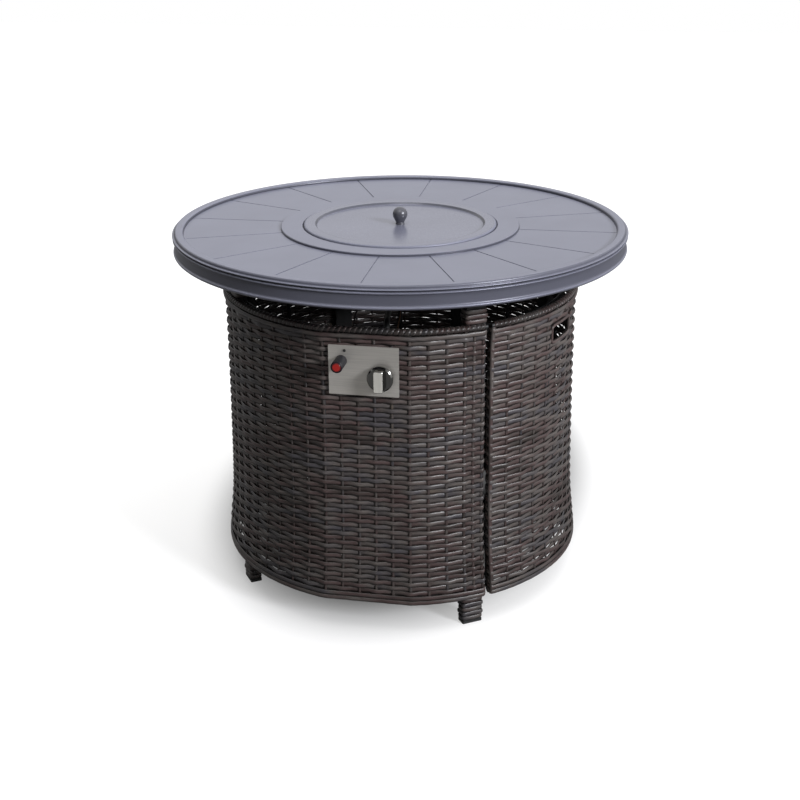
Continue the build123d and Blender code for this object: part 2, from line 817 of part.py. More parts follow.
def sensor_bracket():
    # Small bridge on the pan's floor that holds the electrode and the thermocouple
    deck_z = pan_floor_z + 7
    width = 2 * sensor_x + 14
    bridge = block((width, 14, pan_sheet), 0, sensor_y, deck_z)
    for side in (-1, 1):
        bridge = bridge + block((pan_sheet, 14, 7), side * (width - pan_sheet) / 2, sensor_y, pan_floor_z)
    bridge = bridge - upright_tube(rod_ceramic_r, deck_z - 1, deck_z + 3, -sensor_x, sensor_y)
    return bridge - upright_tube(couple_r, deck_z - 1, deck_z + 3, sensor_x, sensor_y)


def igniter_lead():
    back = plate_back + lock_nut_thick + igniter_length
    points = [
        (igniter_x, back, igniter_z),
        (igniter_x, back + 26, igniter_z),
        (igniter_x + 5, back + 42, stem_bottom - 6),
        (-sensor_x, sensor_y, stem_bottom - 4),
        (-sensor_x, sensor_y, pan_floor_z - 16),
    ]
    return bent_tube(points, [14, 18, 5], lead_r)


def door_frame():
    inset = degrees(2.0 / wall_waist)
    edge = degrees((upright_r + 2.0) / wall_waist)
    third = (door_to - door_from) / 3
    uprights = (door_from + edge, door_from + third, door_to - third, door_to - edge)
    return rod_frame(door_from + inset, door_to - inset, uprights)


def finger_hole():
    hole = block((hole_width, 60, hole_height), 0, -wall_waist, hole_z - hole_height / 2)
    return turned(hole_turn, fillet(hole.edges().filter_by(Axis.Y), 3.0))


def door_pegs():
    # Two pegs that locate the foot of the door in the lower ring
    pegs = []
    for x in (-peg_reach, peg_reach):
        root = sqrt(bottom_rod_ring ** 2 - peg_reach ** 2)
        peg = front_rod(peg_r, -root, -peg_tip, x, peg_z)
        peg = turned(door_mid, chamfer(peg.faces().sort_by(Axis.Y)[-1].edges(), 1.0))
        cleared = peg - body_rod(bottom_rod_ring, bottom_rod_z, bottom_rod_r, door_from, door_to)
        pegs.append(cleared.solids().sort_by(SortBy.VOLUME)[-1])
    return Compound(pegs)


def strike_plates():
    # Steel plates on the door's top rod, one in front of each magnet
    plates = []
    for side in (-catch_turn, catch_turn):
        plate = block((strike_width, strike_sheet, strike_height), 0, -(strike_face - strike_sheet / 2), strike_z)
        plates.append(turned(door_mid + side, plate))
    return Compound(plates)


def door_magnets():
    face = strike_face - strike_sheet - fit
    depth = face - leg_inner_r
    magnets = []
    for side in (-catch_turn, catch_turn):
        magnet = block((magnet_width, depth, magnet_height), 0, -(leg_inner_r + depth / 2), strike_z - 2)
        magnets.append(turned(door_mid + side, magnet))
    return Compound(magnets)


whole_woven = whole_wall()
edge_left = leg_turns[3] - 360
edge_back = leg_turns[2] - 360
mid_left = (edge_back + edge_left) / 2
mid_rear = (leg_turns[1] + leg_turns[2]) / 2
frame_front = rod_frame(edge_left, leg_turns[0] + wrap_half, (facet_upright, -facet_half, facet_half))
frame_left = rod_frame(edge_back, edge_left, (mid_left - upright_spread, mid_left + upright_spread), [mid_left])
rear_uprights = (mid_rear - upright_spread, mid_rear + upright_spread)
frame_rear = rod_frame(leg_turns[1] - wrap_half, leg_turns[2], rear_uprights, [mid_rear])
frame_door = door_frame()
wicker_front = wall_stretch(edge_left, leg_turns[0] + wrap_half, frame_front) - window_block(fit, -20, 60)

nodes = {
    "table_top": table_top(),
    "lid": lid(),
    "lid_knob": lid_knob(),
    "lid_knob_screw": lid_knob_screw(),
    "upper_ring": upper_ring(),
    "lower_ring": lower_ring(),
    "cross_bar_front": cross_bar(-bar_spread),
    "cross_bar_rear": cross_bar(bar_spread),
    "tank_tray": tank_tray(),
    "top_bolts": top_bolts(),
    "frame_front": frame_front,
    "frame_left": frame_left,
    "frame_rear": frame_rear,
    "wicker_front": wicker_front,
    "wicker_left": wall_stretch(edge_back, edge_left, frame_left),
    "wicker_rear": wall_stretch(leg_turns[1] - wrap_half, leg_turns[2], frame_rear),
    "door_frame": frame_door,
    "door_wicker": wall_stretch(door_from, door_to, frame_door) - finger_hole() - strike_plates(),
    "door_pegs": door_pegs(),
    "strike_plates": strike_plates(),
    "door_magnets": door_magnets(),
    "window_liner": window_liner(),
    "control_plate": control_plate(),
    "plate_screw": plate_screw(),
    "valve_screws": valve_screws(),
    "valve_body": valve_body(),
    "valve_rotor": valve_rotor(),
    "valve_stem": valve_stem(),
    "control_knob": control_knob(),
    "inlet_fitting": inlet_fitting(),
    "igniter_barrel": igniter_barrel(),
    "igniter_button": igniter_button(),
    "igniter_spring": igniter_spring(),
    "igniter_lock_nut": igniter_lock_nut(),
    "igniter_body": igniter_body(),
    "burner_pan": burner_pan(),
    "burner": burner(),
    "pan_nut": pan_nut(),
    "mixer_elbow": mixer_elbow(),
    "feed_tube": feed_tube(),
    "electrode": electrode(),
    "thermocouple": thermocouple(),
    "sensor_bracket": sensor_bracket(),
    "igniter_lead": igniter_lead(),
}
for name, turn in zip(leg_names, leg_turns):
    nodes["leg_" + name] = leg(turn)
    nodes["foot_cap_" + name] = foot_cap(turn)
    nodes["leg_wrap_" + name] = leg_wrap(turn)
    nodes["top_bracket_" + name] = top_bracket(turn)

for name, shape in nodes.items():
    export_step(shape, f"parts/{name}.step")
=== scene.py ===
# Round gas fire pit table with a woven body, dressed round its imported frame. Lengths are in metres.
import math
import bmesh
import bpy
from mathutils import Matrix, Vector


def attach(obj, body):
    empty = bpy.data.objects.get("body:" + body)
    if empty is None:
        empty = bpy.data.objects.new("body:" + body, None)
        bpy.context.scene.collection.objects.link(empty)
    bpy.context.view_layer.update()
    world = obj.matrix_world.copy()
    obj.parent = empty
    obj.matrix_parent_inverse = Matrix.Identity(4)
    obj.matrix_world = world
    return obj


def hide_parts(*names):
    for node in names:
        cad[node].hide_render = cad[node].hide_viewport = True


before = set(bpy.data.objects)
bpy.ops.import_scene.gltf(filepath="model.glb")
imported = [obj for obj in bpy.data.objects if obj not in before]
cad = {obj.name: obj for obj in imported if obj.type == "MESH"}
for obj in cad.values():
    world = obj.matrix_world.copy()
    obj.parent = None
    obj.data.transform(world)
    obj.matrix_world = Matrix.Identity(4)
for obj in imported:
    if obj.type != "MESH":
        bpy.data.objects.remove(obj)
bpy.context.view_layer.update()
scene = bpy.context.scene


def turnedSpot(turn, radius, height):
    # point at an azimuth in degrees, counted from the front towards +X
    a = math.radians(turn)
    return Vector((radius * math.sin(a), -radius * math.cos(a), height))


def linkObject(obj):
    scene.collection.objects.link(obj)
    return obj


class Wire:
    # a node's output that can be summed and multiplied like a number
    def __init__(self, tree, socket):
        self.tree = tree
        self.socket = socket

    def __add__(self, other):
        return self.tree.sum("ADD", self, other)

    def __radd__(self, other):
        return self.tree.sum("ADD", other, self)

    def __sub__(self, other):
        return self.tree.sum("SUBTRACT", self, other)

    def __rsub__(self, other):
        return self.tree.sum("SUBTRACT", other, self)

    def __mul__(self, other):
        return self.tree.sum("MULTIPLY", self, other)

    def __rmul__(self, other):
        return self.tree.sum("MULTIPLY", other, self)

    def __truediv__(self, other):
        return self.tree.sum("DIVIDE", self, other)

    def __rtruediv__(self, other):
        return self.tree.sum("DIVIDE", other, self)


class GeoTree:
    # a geometry node tree with named sizes, ending in one mesh
    def __init__(self, name, sizes):
        self.tree = bpy.data.node_groups.new(name, "GeometryNodeTree")
        self.tree.is_modifier = True
        self.sizes = sizes
        self.tree.interface.new_socket(name="Mesh", in_out="OUTPUT", socket_type="NodeSocketGeometry")
        for label, value in sizes.items():
            kind = "NodeSocketInt" if isinstance(value, int) else "NodeSocketFloat"
            self.tree.interface.new_socket(name=label, in_out="INPUT", socket_type=kind)
        self.source = self.tree.nodes.new("NodeGroupInput")
        self.sink = self.tree.nodes.new("NodeGroupOutput")

    def size(self, label):
        return Wire(self, self.source.outputs[label])

    def plug(self, socket, value):
        if isinstance(value, Wire):
            self.tree.links.new(value.socket, socket)
        elif value is not None:
            socket.default_value = value

    def node(self, kind, inputs=None, out=0, **settings):
        n = self.tree.nodes.new(kind)
        for key, value in settings.items():
            setattr(n, key, value)
        for key, value in (inputs or {}).items():
            self.plug(n.inputs[key], value)
        return Wire(self, n.outputs[out])

    def sum(self, operation, a, b=None):
        return self.node("ShaderNodeMath", {0: a, 1: b}, operation=operation)

    def sine(self, a):
        return self.sum("SINE", a)

    def cosine(self, a):
        return self.sum("COSINE", a)

    def clamp(self, a, low, high):
        return self.sum("MINIMUM", self.sum("MAXIMUM", a, low), high)

    def boxed(self, a, amount):
        # a sine or cosine that stays at its limits for longer, for a loop with straighter sides
        return self.clamp(a * amount, -1.0, 1.0)

    def vector(self, x, y, z):
        return self.node("ShaderNodeCombineXYZ", {0: x, 1: y, 2: z})

    def direction(self, vector):
        return self.node("ShaderNodeVectorMath", {0: tuple(vector)}, operation="NORMALIZE")

    def position(self):
        return self.node("GeometryNodeInputPosition")

    def split(self, vector):
        n = self.tree.nodes.new("ShaderNodeSeparateXYZ")
        self.tree.links.new(vector.socket, n.inputs[0])
        return [Wire(self, s) for s in n.outputs]

    def store(self, mesh, label, value):
        return self.node("GeometryNodeStoreNamedAttribute", {"Geometry": mesh, "Name": label, "Value": value},
                         data_type="FLOAT", domain="POINT")

    def named(self, label):
        return self.node("GeometryNodeInputNamedAttribute", {"Name": label}, data_type="FLOAT")

    def place(self, mesh, spot):
        return self.node("GeometryNodeSetPosition", {"Geometry": mesh, "Position": spot})

    def finishMesh(self, name, mesh, material):
        # realized, given its material, smooth, then turned into a plain mesh object
        real = self.node("GeometryNodeRealizeInstances", {0: mesh})
        smooth = self.node("GeometryNodeSetShadeSmooth", {"Geometry": real, "Shade Smooth": True})
        done = self.node("GeometryNodeSetMaterial", {"Geometry": smooth, "Material": material})
        self.tree.links.new(done.socket, self.sink.inputs[0])
        holder = linkObject(bpy.data.objects.new(name, bpy.data.meshes.new(name)))
        modifier = holder.modifiers.new("build", "NODES")
        modifier.node_group = self.tree
        for item in self.tree.interface.items_tree:
            if item.item_type == "SOCKET" and item.in_out == "INPUT":
                modifier[item.identifier] = self.sizes[item.name]
        graph = bpy.context.evaluated_depsgraph_get()
        mesh = bpy.data.meshes.new_from_object(holder.evaluated_get(graph))
        holder.modifiers.remove(modifier)
        holder.data = mesh
        mesh.name = name
        print("  made", name, len(mesh.polygons), "faces")
        return holder


class ShaderNodes:
    # a shader's node tree that is filled by short calls
    def __init__(self, tree):
        self.tree = tree

    def node(self, kind, inputs=None, out=0, **settings):
        n = self.tree.nodes.new(kind)
        for key, value in settings.items():
            setattr(n, key, value)
        for key, value in (inputs or {}).items():
            if isinstance(value, bpy.types.NodeSocket):
                self.tree.links.new(value, n.inputs[key])
            else:
                n.inputs[key].default_value = value
        return n.outputs[out]

    def outputs(self, kind, inputs=None):
        # all the outputs of one node
        return self.node(kind, inputs).node.outputs

    def math(self, operation, a, b=0.0):
        return self.node("ShaderNodeMath", {0: a, 1: b}, operation=operation)

    def range(self, value, low, high, to0, to1, **settings):
        return self.node("ShaderNodeMapRange", {"Value": value, "From Min": low, "From Max": high,
                                                "To Min": to0, "To Max": to1}, **settings)

    def mix(self, factor, a, b, blend="MIX"):
        n = self.tree.nodes.new("ShaderNodeMix")
        n.data_type = "RGBA"
        n.blend_type = blend
        for key, value in ((0, factor), (6, a), (7, b)):
            if isinstance(value, bpy.types.NodeSocket):
                self.tree.links.new(value, n.inputs[key])
            else:
                n.inputs[key].default_value = value if key == 0 else (*value, 1.0)
        return n.outputs[2]

    def endWith(self, kind, shader):
        out = self.tree.nodes.new(kind)
        self.tree.links.new(shader, out.inputs[0])


class ShadeTree(ShaderNodes):
    # a material's own nodes, round its Principled shader
    def __init__(self, name, roughness=0.5, metallic=0.0, specular=0.5):
        self.material = bpy.data.materials.new(name)
        self.material.use_nodes = True
        super().__init__(self.material.node_tree)
        self.shader = self.tree.nodes["Principled BSDF"]
        self.shader.inputs["Roughness"].default_value = roughness
        self.shader.inputs["Metallic"].default_value = metallic
        self.shader.inputs["Specular IOR Level"].default_value = specular

    def spot(self, stretch=(1.0, 1.0, 1.0)):
        coords = self.node("ShaderNodeTexCoord", out="Object")
        return self.node("ShaderNodeMapping", {"Vector": coords, "Scale": stretch})

    def axis(self, number):
        return self.node("ShaderNodeSeparateXYZ", {0: self.spot()}, out=number)

    def attribute(self, label):
        return self.node("ShaderNodeAttribute", out="Fac", attribute_name=label)

    def noise(self, scale, detail=3.0, where=None, roughness=0.55):
        where = where or self.spot()
        return self.node("ShaderNodeTexNoise", {"Vector": where, "Scale": scale, "Detail": detail,
                                                "Roughness": roughness})

    def vector(self, x, y, z):
        return self.node("ShaderNodeCombineXYZ", {0: x, 1: y, 2: z})

    def ramp(self, factor, stops):
        n = self.tree.nodes.new("ShaderNodeValToRGB")
        while len(n.color_ramp.elements) < len(stops):
            n.color_ramp.elements.new(0.5)
        for element, (place, colour) in zip(n.color_ramp.elements, stops):
            element.position = place
            element.color = (*colour, 1.0)
        self.tree.links.new(factor, n.inputs[0])
        return n.outputs[0]

    def fill(self, label, socket):
        # a texture of its own for one of the shader's inputs
        self.tree.links.new(socket, self.shader.inputs[label])

    def colour(self, socket):
        self.fill("Base Color", socket)

    def rough(self, socket):
        self.fill("Roughness", socket)

    def bump(self, height, depth, strength=1.0):
        self.fill("Normal", self.node("ShaderNodeBump", {"Height": height, "Distance": depth, "Strength": strength}))


print("camera, lights and floor")
view = {
    "cameraSpot": (0.4589, -2.37342, 1.25476),
    "cameraTurn": (68.6732, 0.3674, 10.8566),
    "lens": 61.7616,
    "lamps": {                  # azimuth, rise, strength, softness in degrees, colour
        "keyLight": (60.0, 24.0, 3.15, 14.0, (0.95, 0.96, 1.0)),
        "topLight": (150.0, 78.0, 2.2, 70.0, (1.0, 1.0, 1.0)),
        "frontLight": (-4.0, 60.0, 0.50, 34.0, (1.0, 1.0, 1.0)),
    },
    "fill": 0.053,
    "fillColour": (1.0, 0.93, 0.86),
    "frontGloss": 0.42,         # how bright the studio in front looks to metal, the background being 1
    "frontBlend": 0.25,         # how far it fades to either side of the object
    "highGloss": (0.32, 0.85),  # upward part of a direction between which the studio turns bright overhead
    "sideGloss": (0.55, 1.00),  # the same towards the right
    "lowGloss": (0.04, 0.30, 0.22),     # the background seen as a reflection is dark below this, and how dark
    "floorColour": (0.09, 0.09, 0.09),  # what the floor throws back on the table
    "floorSeen": (0.50, 0.50, 0.50),    # what the camera sees of it, before the lift
    "floorLift": 0.62,          # how much the floor is lit up for the camera, and in reflections
    "floorGlossLift": 0.14,
    "floorHalf": 9.0,
    "floorHeight": -0.0004,
    "shadeMiddle": (-0.05, 0.36),       # the floor's own shade under and behind the table
    "shadeReach": (0.34, 0.60),
    "shadeFade": (0.8, 1.3),            # where it ends, counted in reaches
}


def makeCamera():
    # the photograph's viewpoint
    lens = bpy.data.cameras.new("camera")
    lens.sensor_width = 36.0
    lens.lens = view["lens"]
    lens.clip_end = 60.0
    camera = linkObject(bpy.data.objects.new("camera", lens))
    camera.location = view["cameraSpot"]
    camera.rotation_euler = [math.radians(a) for a in view["cameraTurn"]]
    scene.camera = camera


def makeLights():
    for name, (turn, rise, strength, softness, colour) in view["lamps"].items():
        light = bpy.data.lights.new(name, "SUN")
        light.energy = strength
        light.angle = math.radians(softness)
        light.color = colour
        lamp = linkObject(bpy.data.objects.new(name, light))
        lamp.visible_glossy = name != "topLight"    # it is wide, and would show in the metal
        toward = turnedSpot(turn, math.cos(math.radians(rise)), math.sin(math.radians(rise)))
        lamp.rotation_euler = toward.to_track_quat("Z", "Y").to_euler()


def makeWorld():
    # a dim fill on the object, and the pale studio that the camera and reflections see
    world = bpy.data.worlds.new("paleStudio")
    scene.world = world
    world.use_nodes = True
    world.node_tree.nodes.clear()
    s = ShaderNodes(world.node_tree)
    rays = s.outputs("ShaderNodeLightPath")
    seen = s.math("MAXIMUM", rays["Is Camera Ray"], rays["Is Glossy Ray"])
    through = s.math("MAXIMUM", seen, rays["Is Transmission Ray"])
    toward = s.outputs("ShaderNodeSeparateXYZ", {0: s.node("ShaderNodeTexCoord", out="Generated")})
    behind = s.range(toward["Y"], -view["frontBlend"], view["frontBlend"], view["frontGloss"], 1.0)
    horizon = s.range(toward["Z"], *view["lowGloss"], 1.0)
    bright = s.math("MAXIMUM", s.math("MULTIPLY", behind, horizon), rays["Is Camera Ray"])
    for axis, limits in (("Z", view["highGloss"]), ("X", view["sideGloss"])):
        bright = s.math("MAXIMUM", bright, s.range(toward[axis], *limits, 0.0, 1.0))
    lit = s.node("ShaderNodeBackground", {0: (*view["fillColour"], 1.0), 1: view["fill"]})
    white = s.node("ShaderNodeBackground", {0: (1.0, 1.0, 1.0, 1.0), 1: bright})
    s.endWith("ShaderNodeOutputWorld", s.node("ShaderNodeMixShader", {0: through, 1: lit, 2: white}))


def makeFloor():
    half, low = view["floorHalf"], view["floorHeight"]
    mesh = bpy.data.meshes.new("floor")
    mesh.from_pydata([(-half, -half, low), (half, -half, low), (half, half, low), (-half, half, low)], [],
                     [(0, 1, 2, 3)])
    floor = linkObject(bpy.data.objects.new("floor", mesh))
    paper = bpy.data.materials.new("paleFloor")
    paper.use_nodes = True
    paper.node_tree.nodes.clear()
    s = ShaderNodes(paper.node_tree)
    rays = s.outputs("ShaderNodeLightPath")
    mirrored = s.math("MULTIPLY", rays["Is Glossy Ray"], view["floorGlossLift"] / view["floorLift"])
    seen = s.math("MAXIMUM", rays["Is Camera Ray"], mirrored)
    shade = s.node("ShaderNodeMapping", {"Vector": s.node("ShaderNodeTexCoord", out="Object"),
                                         "Location": (*view["shadeMiddle"], 0.0),
                                         "Scale": (*view["shadeReach"], 1.0)}, vector_type="TEXTURE")
    away = s.node("ShaderNodeVectorMath", {0: shade}, out="Value", operation="LENGTH")
    clear = s.range(away, *view["shadeFade"], 0.0, 1.0, interpolation_type="SMOOTHSTEP")
    lift = s.math("MULTIPLY", s.math("MULTIPLY", seen, clear), view["floorLift"])
    tone = s.mix(s.math("MULTIPLY", rays["Is Camera Ray"], clear), view["floorColour"], view["floorSeen"])
    matt = s.node("ShaderNodeBsdfDiffuse", {0: tone})
    glow = s.node("ShaderNodeEmission", {1: lift})
    s.endWith("ShaderNodeOutputMaterial", s.node("ShaderNodeAddShader", {0: matt, 1: glow}))
    mesh.materials.append(paper)


scene.view_settings.view_transform = "Standard"
makeCamera()
makeLights()
makeWorld()
makeFloor()


print("finishes")
castLook = {
    "metallic": 0.18,
    "grain": 900.0,             # the powder coat's pebble
    "grainDepth": 0.00001,
    "cloud": 9.0,               # slow drift of its tone
    "jointsAndShadeLines": (                  # radius, half width and strength of the dark joints and of the painted shade lines at steps and on the rim's slope
        (0.2140, 0.0009, 0.60), (0.3867, 0.0009, 0.66), (0.1742, 0.0012, 0.66), (0.1512, 0.0022, 0.60),
        (0.4020, 0.0026, 0.40),
    ),
    "jointAndShadeColour": (0.02, 0.02, 0.024),
    "groove": (0.6467, 0.0014, 0.8),    # height, half width and strength of the painted shade in the groove round the edge
    "grooveShadeColour": (0.012, 0.012, 0.015),
    "grooveFrom": 0.400,                # radius outside which it shows
    "soft": 0.6,                # share of a seam's half width that is fully dark
    "dulling": 0.25,
}


def castFinish(name, base, roughness, specular, withJointsAndShade=True, dullPast=None):
    # powder coat with its fine pebble over cast metal, darker in the joints, with painted shade along its steps, on the
    # rim's slope and in its groove
    s = ShadeTree(name, roughness=roughness, metallic=castLook["metallic"], specular=specular)
    cloud = s.noise(castLook["cloud"], 4.0)
    pebble = s.noise(castLook["grain"], 2.0, roughness=0.6)
    tone = s.ramp(cloud, [(0.3, [c * 0.95 for c in base]), (0.7, [c * 1.05 for c in base])])
    speck = s.ramp(pebble, [(0.35, (0.96, 0.96, 0.965)), (0.65, (1.03, 1.03, 1.03))])
    painted = s.mix(1.0, tone, speck, "MULTIPLY")
    rough = s.range(pebble, 0.3, 0.7, roughness - 0.02, roughness + 0.03)
    if withJointsAndShade:
        away = s.node("ShaderNodeVectorMath", {0: s.spot((1.0, 1.0, 0.0))}, out=1, operation="LENGTH")
        # painted shade: dark lines at the joints and steps, and a dark band on the rim's slope outside the fold
        for radius, width, strength in castLook["jointsAndShadeLines"]:
            off = s.math("ABSOLUTE", s.math("SUBTRACT", away, radius))
            dark = s.range(off, width, width * castLook["soft"], 0.0, strength)
            painted = s.mix(dark, painted, castLook["jointAndShadeColour"])
        # painted shade in the groove round the edge
        height, width, strength = castLook["groove"]
        off = s.math("ABSOLUTE", s.math("SUBTRACT", s.axis(2), height))
        dark = s.math("MULTIPLY", s.range(off, width, width * castLook["soft"], 0.0, strength),
                      s.math("GREATER_THAN", away, castLook["grooveFrom"]))
        painted = s.mix(dark, painted, castLook["grooveShadeColour"])
        if dullPast:
            rough = s.math("ADD", rough, s.range(away, dullPast, dullPast + 0.001, 0.0, castLook["dulling"]))
    s.colour(painted)
    s.rough(rough)
    s.bump(pebble, castLook["grainDepth"])
    return s.material


def metalFinish(name, base, roughness, scale=180.0, stretch=(1.0, 1.0, 1.0), depth=0.00003, metallic=1.0):
    # bare or plated metal with fine marks, stretched one way where it is brushed
    s = ShadeTree(name, roughness=roughness, metallic=metallic)
    marks = s.noise(scale, 4.0, where=s.spot(stretch), roughness=0.65)
    smudge = s.noise(14.0, 3.0)
    s.colour(s.ramp(marks, [(0.25, [c * 0.86 for c in base]), (0.75, [min(1.0, c * 1.06) for c in base])]))
    worn = s.range(smudge, 0.3, 0.7, roughness, roughness + 0.1)
    s.rough(s.math("ADD", s.range(marks, 0.3, 0.7, -0.04, 0.06), worn))
    s.bump(marks, depth)
    return s.material


def plasticFinish(name, base, roughness, scale=700.0, depth=0.00004, specular=0.5):
    # moulded or painted surface with a fine grain and faint wear
    s = ShadeTree(name, roughness=roughness, specular=specular)
    grain = s.noise(scale, 2.0)
    wear = s.noise(22.0, 5.0)
    s.colour(s.ramp(wear, [(0.3, [c * 0.85 for c in base]), (0.75, [min(1.0, c * 1.2 + 0.004) for c in base])]))
    s.rough(s.range(wear, 0.3, 0.7, roughness, roughness + 0.14))
    s.bump(grain, depth)
    return s.material


strandLook = {
    "tones": (                  # place along the drift, and colour
        (0.36, (0.050, 0.039, 0.035)),      # dark brown
        (0.45, (0.105, 0.069, 0.066)),      # reddish
        (0.52, (0.138, 0.119, 0.110)),      # taupe
        (0.60, (0.081, 0.075, 0.085)),      # slate
        (0.70, (0.156, 0.125, 0.100)),      # ochre
    ),
    "fibre": ((0.3, (0.62, 0.60, 0.60)), (0.5, (1.0, 1.0, 1.0)), (0.72, (1.4, 1.38, 1.34))),
    "wideAlong": 5.5,           # changes of tone in a metre of strand, for many rows and for a single one
    "wideRows": 0.24,
    "singleAlong": 14.0,
    "singleRows": 3.7,
    "wideShare": 0.74,
    "streakAlong": 60.0,
    "streakAcross": 2.6,
    "streakRows": 5.3,
    "streakDepth": 0.0004,
    # painted shade: the strands are darker towards the bottom of the wall
    "paintedLowShade": ((0.06, 0.62), (0.30, 0.83), (0.48, 1.0)),   # height, and how bright the strands are there
    "roughness": 0.36,
    "specular": 0.50,
    # painted shade: how far a strand's edges are darkened towards the shade colour
    "edgePaintedShade": 0.92,
    "edgePower": 2.2,
    "paintedShadeColour": (0.010, 0.009, 0.008),
}


def strandFinish():
    # round plastic strand dyed in long streaks, with its tone drifting along each strand, painted shade at its edges
    # and darker towards the bottom
    s = ShadeTree("wovenResin", roughness=strandLook["roughness"], specular=strandLook["specular"])
    along = s.attribute("along")
    row = s.attribute("row")
    across = s.attribute("across")

    def stretched(alongScale, rowScale, depth, acrossScale=0.0):
        side = s.math("MULTIPLY", row, rowScale)
        if acrossScale:
            side = s.math("ADD", s.math("MULTIPLY", across, acrossScale), side)
        return s.vector(s.math("MULTIPLY", along, alongScale), side, depth)

    wide = s.noise(1.0, 2.0, where=stretched(strandLook["wideAlong"], strandLook["wideRows"], 0.0))
    single = s.noise(1.0, 1.0, where=stretched(strandLook["singleAlong"], strandLook["singleRows"], 7.0))
    streak = s.noise(1.0, 3.0, where=stretched(strandLook["streakAlong"], strandLook["streakRows"], 3.0,
                                               strandLook["streakAcross"]))
    drift = s.math("ADD", s.math("MULTIPLY", wide, strandLook["wideShare"]),
                   s.math("MULTIPLY", single, 1.0 - strandLook["wideShare"]))
    dyed = s.mix(1.0, s.ramp(drift, strandLook["tones"]), s.ramp(streak, strandLook["fibre"]), "MULTIPLY")
    # painted shade: the strands' colour is darker towards the bottom
    paintedLowShade = s.ramp(s.axis(2), [(height, (share,) * 3) for height, share in strandLook["paintedLowShade"]])
    lowShaded = s.mix(1.0, dyed, paintedLowShade, "MULTIPLY")
    # painted shade: the strands' edges, where the rows meet, and the stakes are mixed towards a near-black colour
    edge = s.math("POWER", s.math("ABSOLUTE", across), strandLook["edgePower"])
    dim = s.math("MAXIMUM", s.math("MULTIPLY", edge, strandLook["edgePaintedShade"]), s.attribute("dim"))
    s.colour(s.mix(dim, lowShaded, strandLook["paintedShadeColour"]))
    s.rough(s.range(streak, 0.3, 0.7, strandLook["roughness"] + 0.1, strandLook["roughness"] - 0.05))
    s.bump(streak, strandLook["streakDepth"], 0.6)
    return s.material


castMetal = castFinish("pewterPowderCoat", (0.192, 0.198, 0.254), 0.34, 0.45)
lidMetal = castFinish("pewterLid", (0.178, 0.184, 0.240), 0.25, 0.6, dullPast=0.1695)
knobMetal = castFinish("pewterKnob", (0.082, 0.083, 0.098), 0.30, 0.6, withJointsAndShade=False)
wovenResin = strandFinish()
frameBlack = plasticFinish("blackPowderCoat", (0.020, 0.020, 0.021), 0.46, 500.0, 0.00006)
footBlack = plasticFinish("blackFootPlastic", (0.016, 0.016, 0.016), 0.5)
plateSteel = metalFinish("brushedSteel", (0.72, 0.69, 0.64), 0.38, 260.0, (0.06, 1.0, 3.0), 0.00002, 0.75)
darkSteel = metalFinish("darkScrewSteel", (0.10, 0.10, 0.10), 0.4)
bareSteel = metalFinish("fastenerSteel", (0.42, 0.42, 0.42), 0.32)
burnerSteel = metalFinish("burnerSteel", (0.40, 0.39, 0.38), 0.30, 220.0, (1.0, 1.0, 0.2))
brass = metalFinish("valveBrass", (0.62, 0.44, 0.20), 0.30)
copper = metalFinish("sensorCopper", (0.13, 0.08, 0.055), 0.38)
igniterBlack = plasticFinish("igniterBlack", (0.009, 0.009, 0.014), 0.38, specular=0.3)
ceramic = plasticFinish("whiteCeramic", (0.72, 0.70, 0.66), 0.35)
leadSleeve = plasticFinish("leadSleeve", (0.030, 0.020, 0.019), 0.45)
magnetGrey = metalFinish("magnetNickel", (0.50, 0.49, 0.47), 0.35)


def frontOf(name):
    return min(v.co.y for v in cad[name].data.vertices)


def middleOf(name):
    # middle of a node along X and Z
    spots = [v.co for v in cad[name].data.vertices]
    return [(min(c[i] for c in spots) + max(c[i] for c in spots)) / 2 for i in (0, 2)]


controlLook = {
    "barFace": (0.0006, 0.0003),        # distances behind the bar's front between which the satin face starts
    "buttonFace": (0.0012, 0.0009),     # the same for the button's red
    "buttonRim": (0.0056, 0.0068),      # radii between which the red turns dim
    "satinMetallic": 0.4,
}


def knobFinish():
    # polished skirt and sides, with a satin face on the bar
    s = ShadeTree("knobChrome", roughness=0.15, metallic=1.0)
    front = frontOf("control_knob")
    face = s.range(s.axis(1), *[front + d for d in controlLook["barFace"]], 0.0, 1.0)
    marks = s.noise(260.0, 4.0, where=s.spot((1.0, 1.0, 0.1)))
    polished = s.ramp(marks, [(0.3, (0.15, 0.148, 0.142)), (0.7, (0.19, 0.188, 0.18))])
    satin = s.ramp(marks, [(0.3, (0.78, 0.76, 0.69)), (0.7, (0.86, 0.84, 0.77))])
    s.colour(s.mix(face, polished, satin))
    s.fill("Metallic", s.range(face, 0.0, 1.0, 1.0, controlLook["satinMetallic"]))
    s.rough(s.range(face, 0.0, 1.0, 0.14, 0.38))
    return s.material


def buttonFinish():
    # red face with a dim rim and a dark side
    s = ShadeTree("buttonRed", roughness=0.3)
    front = frontOf("igniter_button")
    face = s.range(s.axis(1), *[front + d for d in controlLook["buttonFace"]], 0.0, 1.0)
    red = s.ramp(s.noise(60.0, 4.0), [(0.3, (0.40, 0.016, 0.013)), (0.7, (0.50, 0.026, 0.020))])
    x, z = middleOf("igniter_button")
    away = s.node("ShaderNodeVectorMath", {0: s.spot((1.0, 0.0, 1.0)), 1: (x, 0.0, z)}, out=1, operation="DISTANCE")
    rimmed = s.mix(s.range(away, *controlLook["buttonRim"], 0.0, 0.85), red, (0.030, 0.006, 0.008))
    s.colour(s.mix(face, (0.012, 0.010, 0.012), rimmed))
    s.bump(s.noise(600.0, 2.0), 0.00003)
    return s.material


chrome = knobFinish()
buttonRed = buttonFinish()

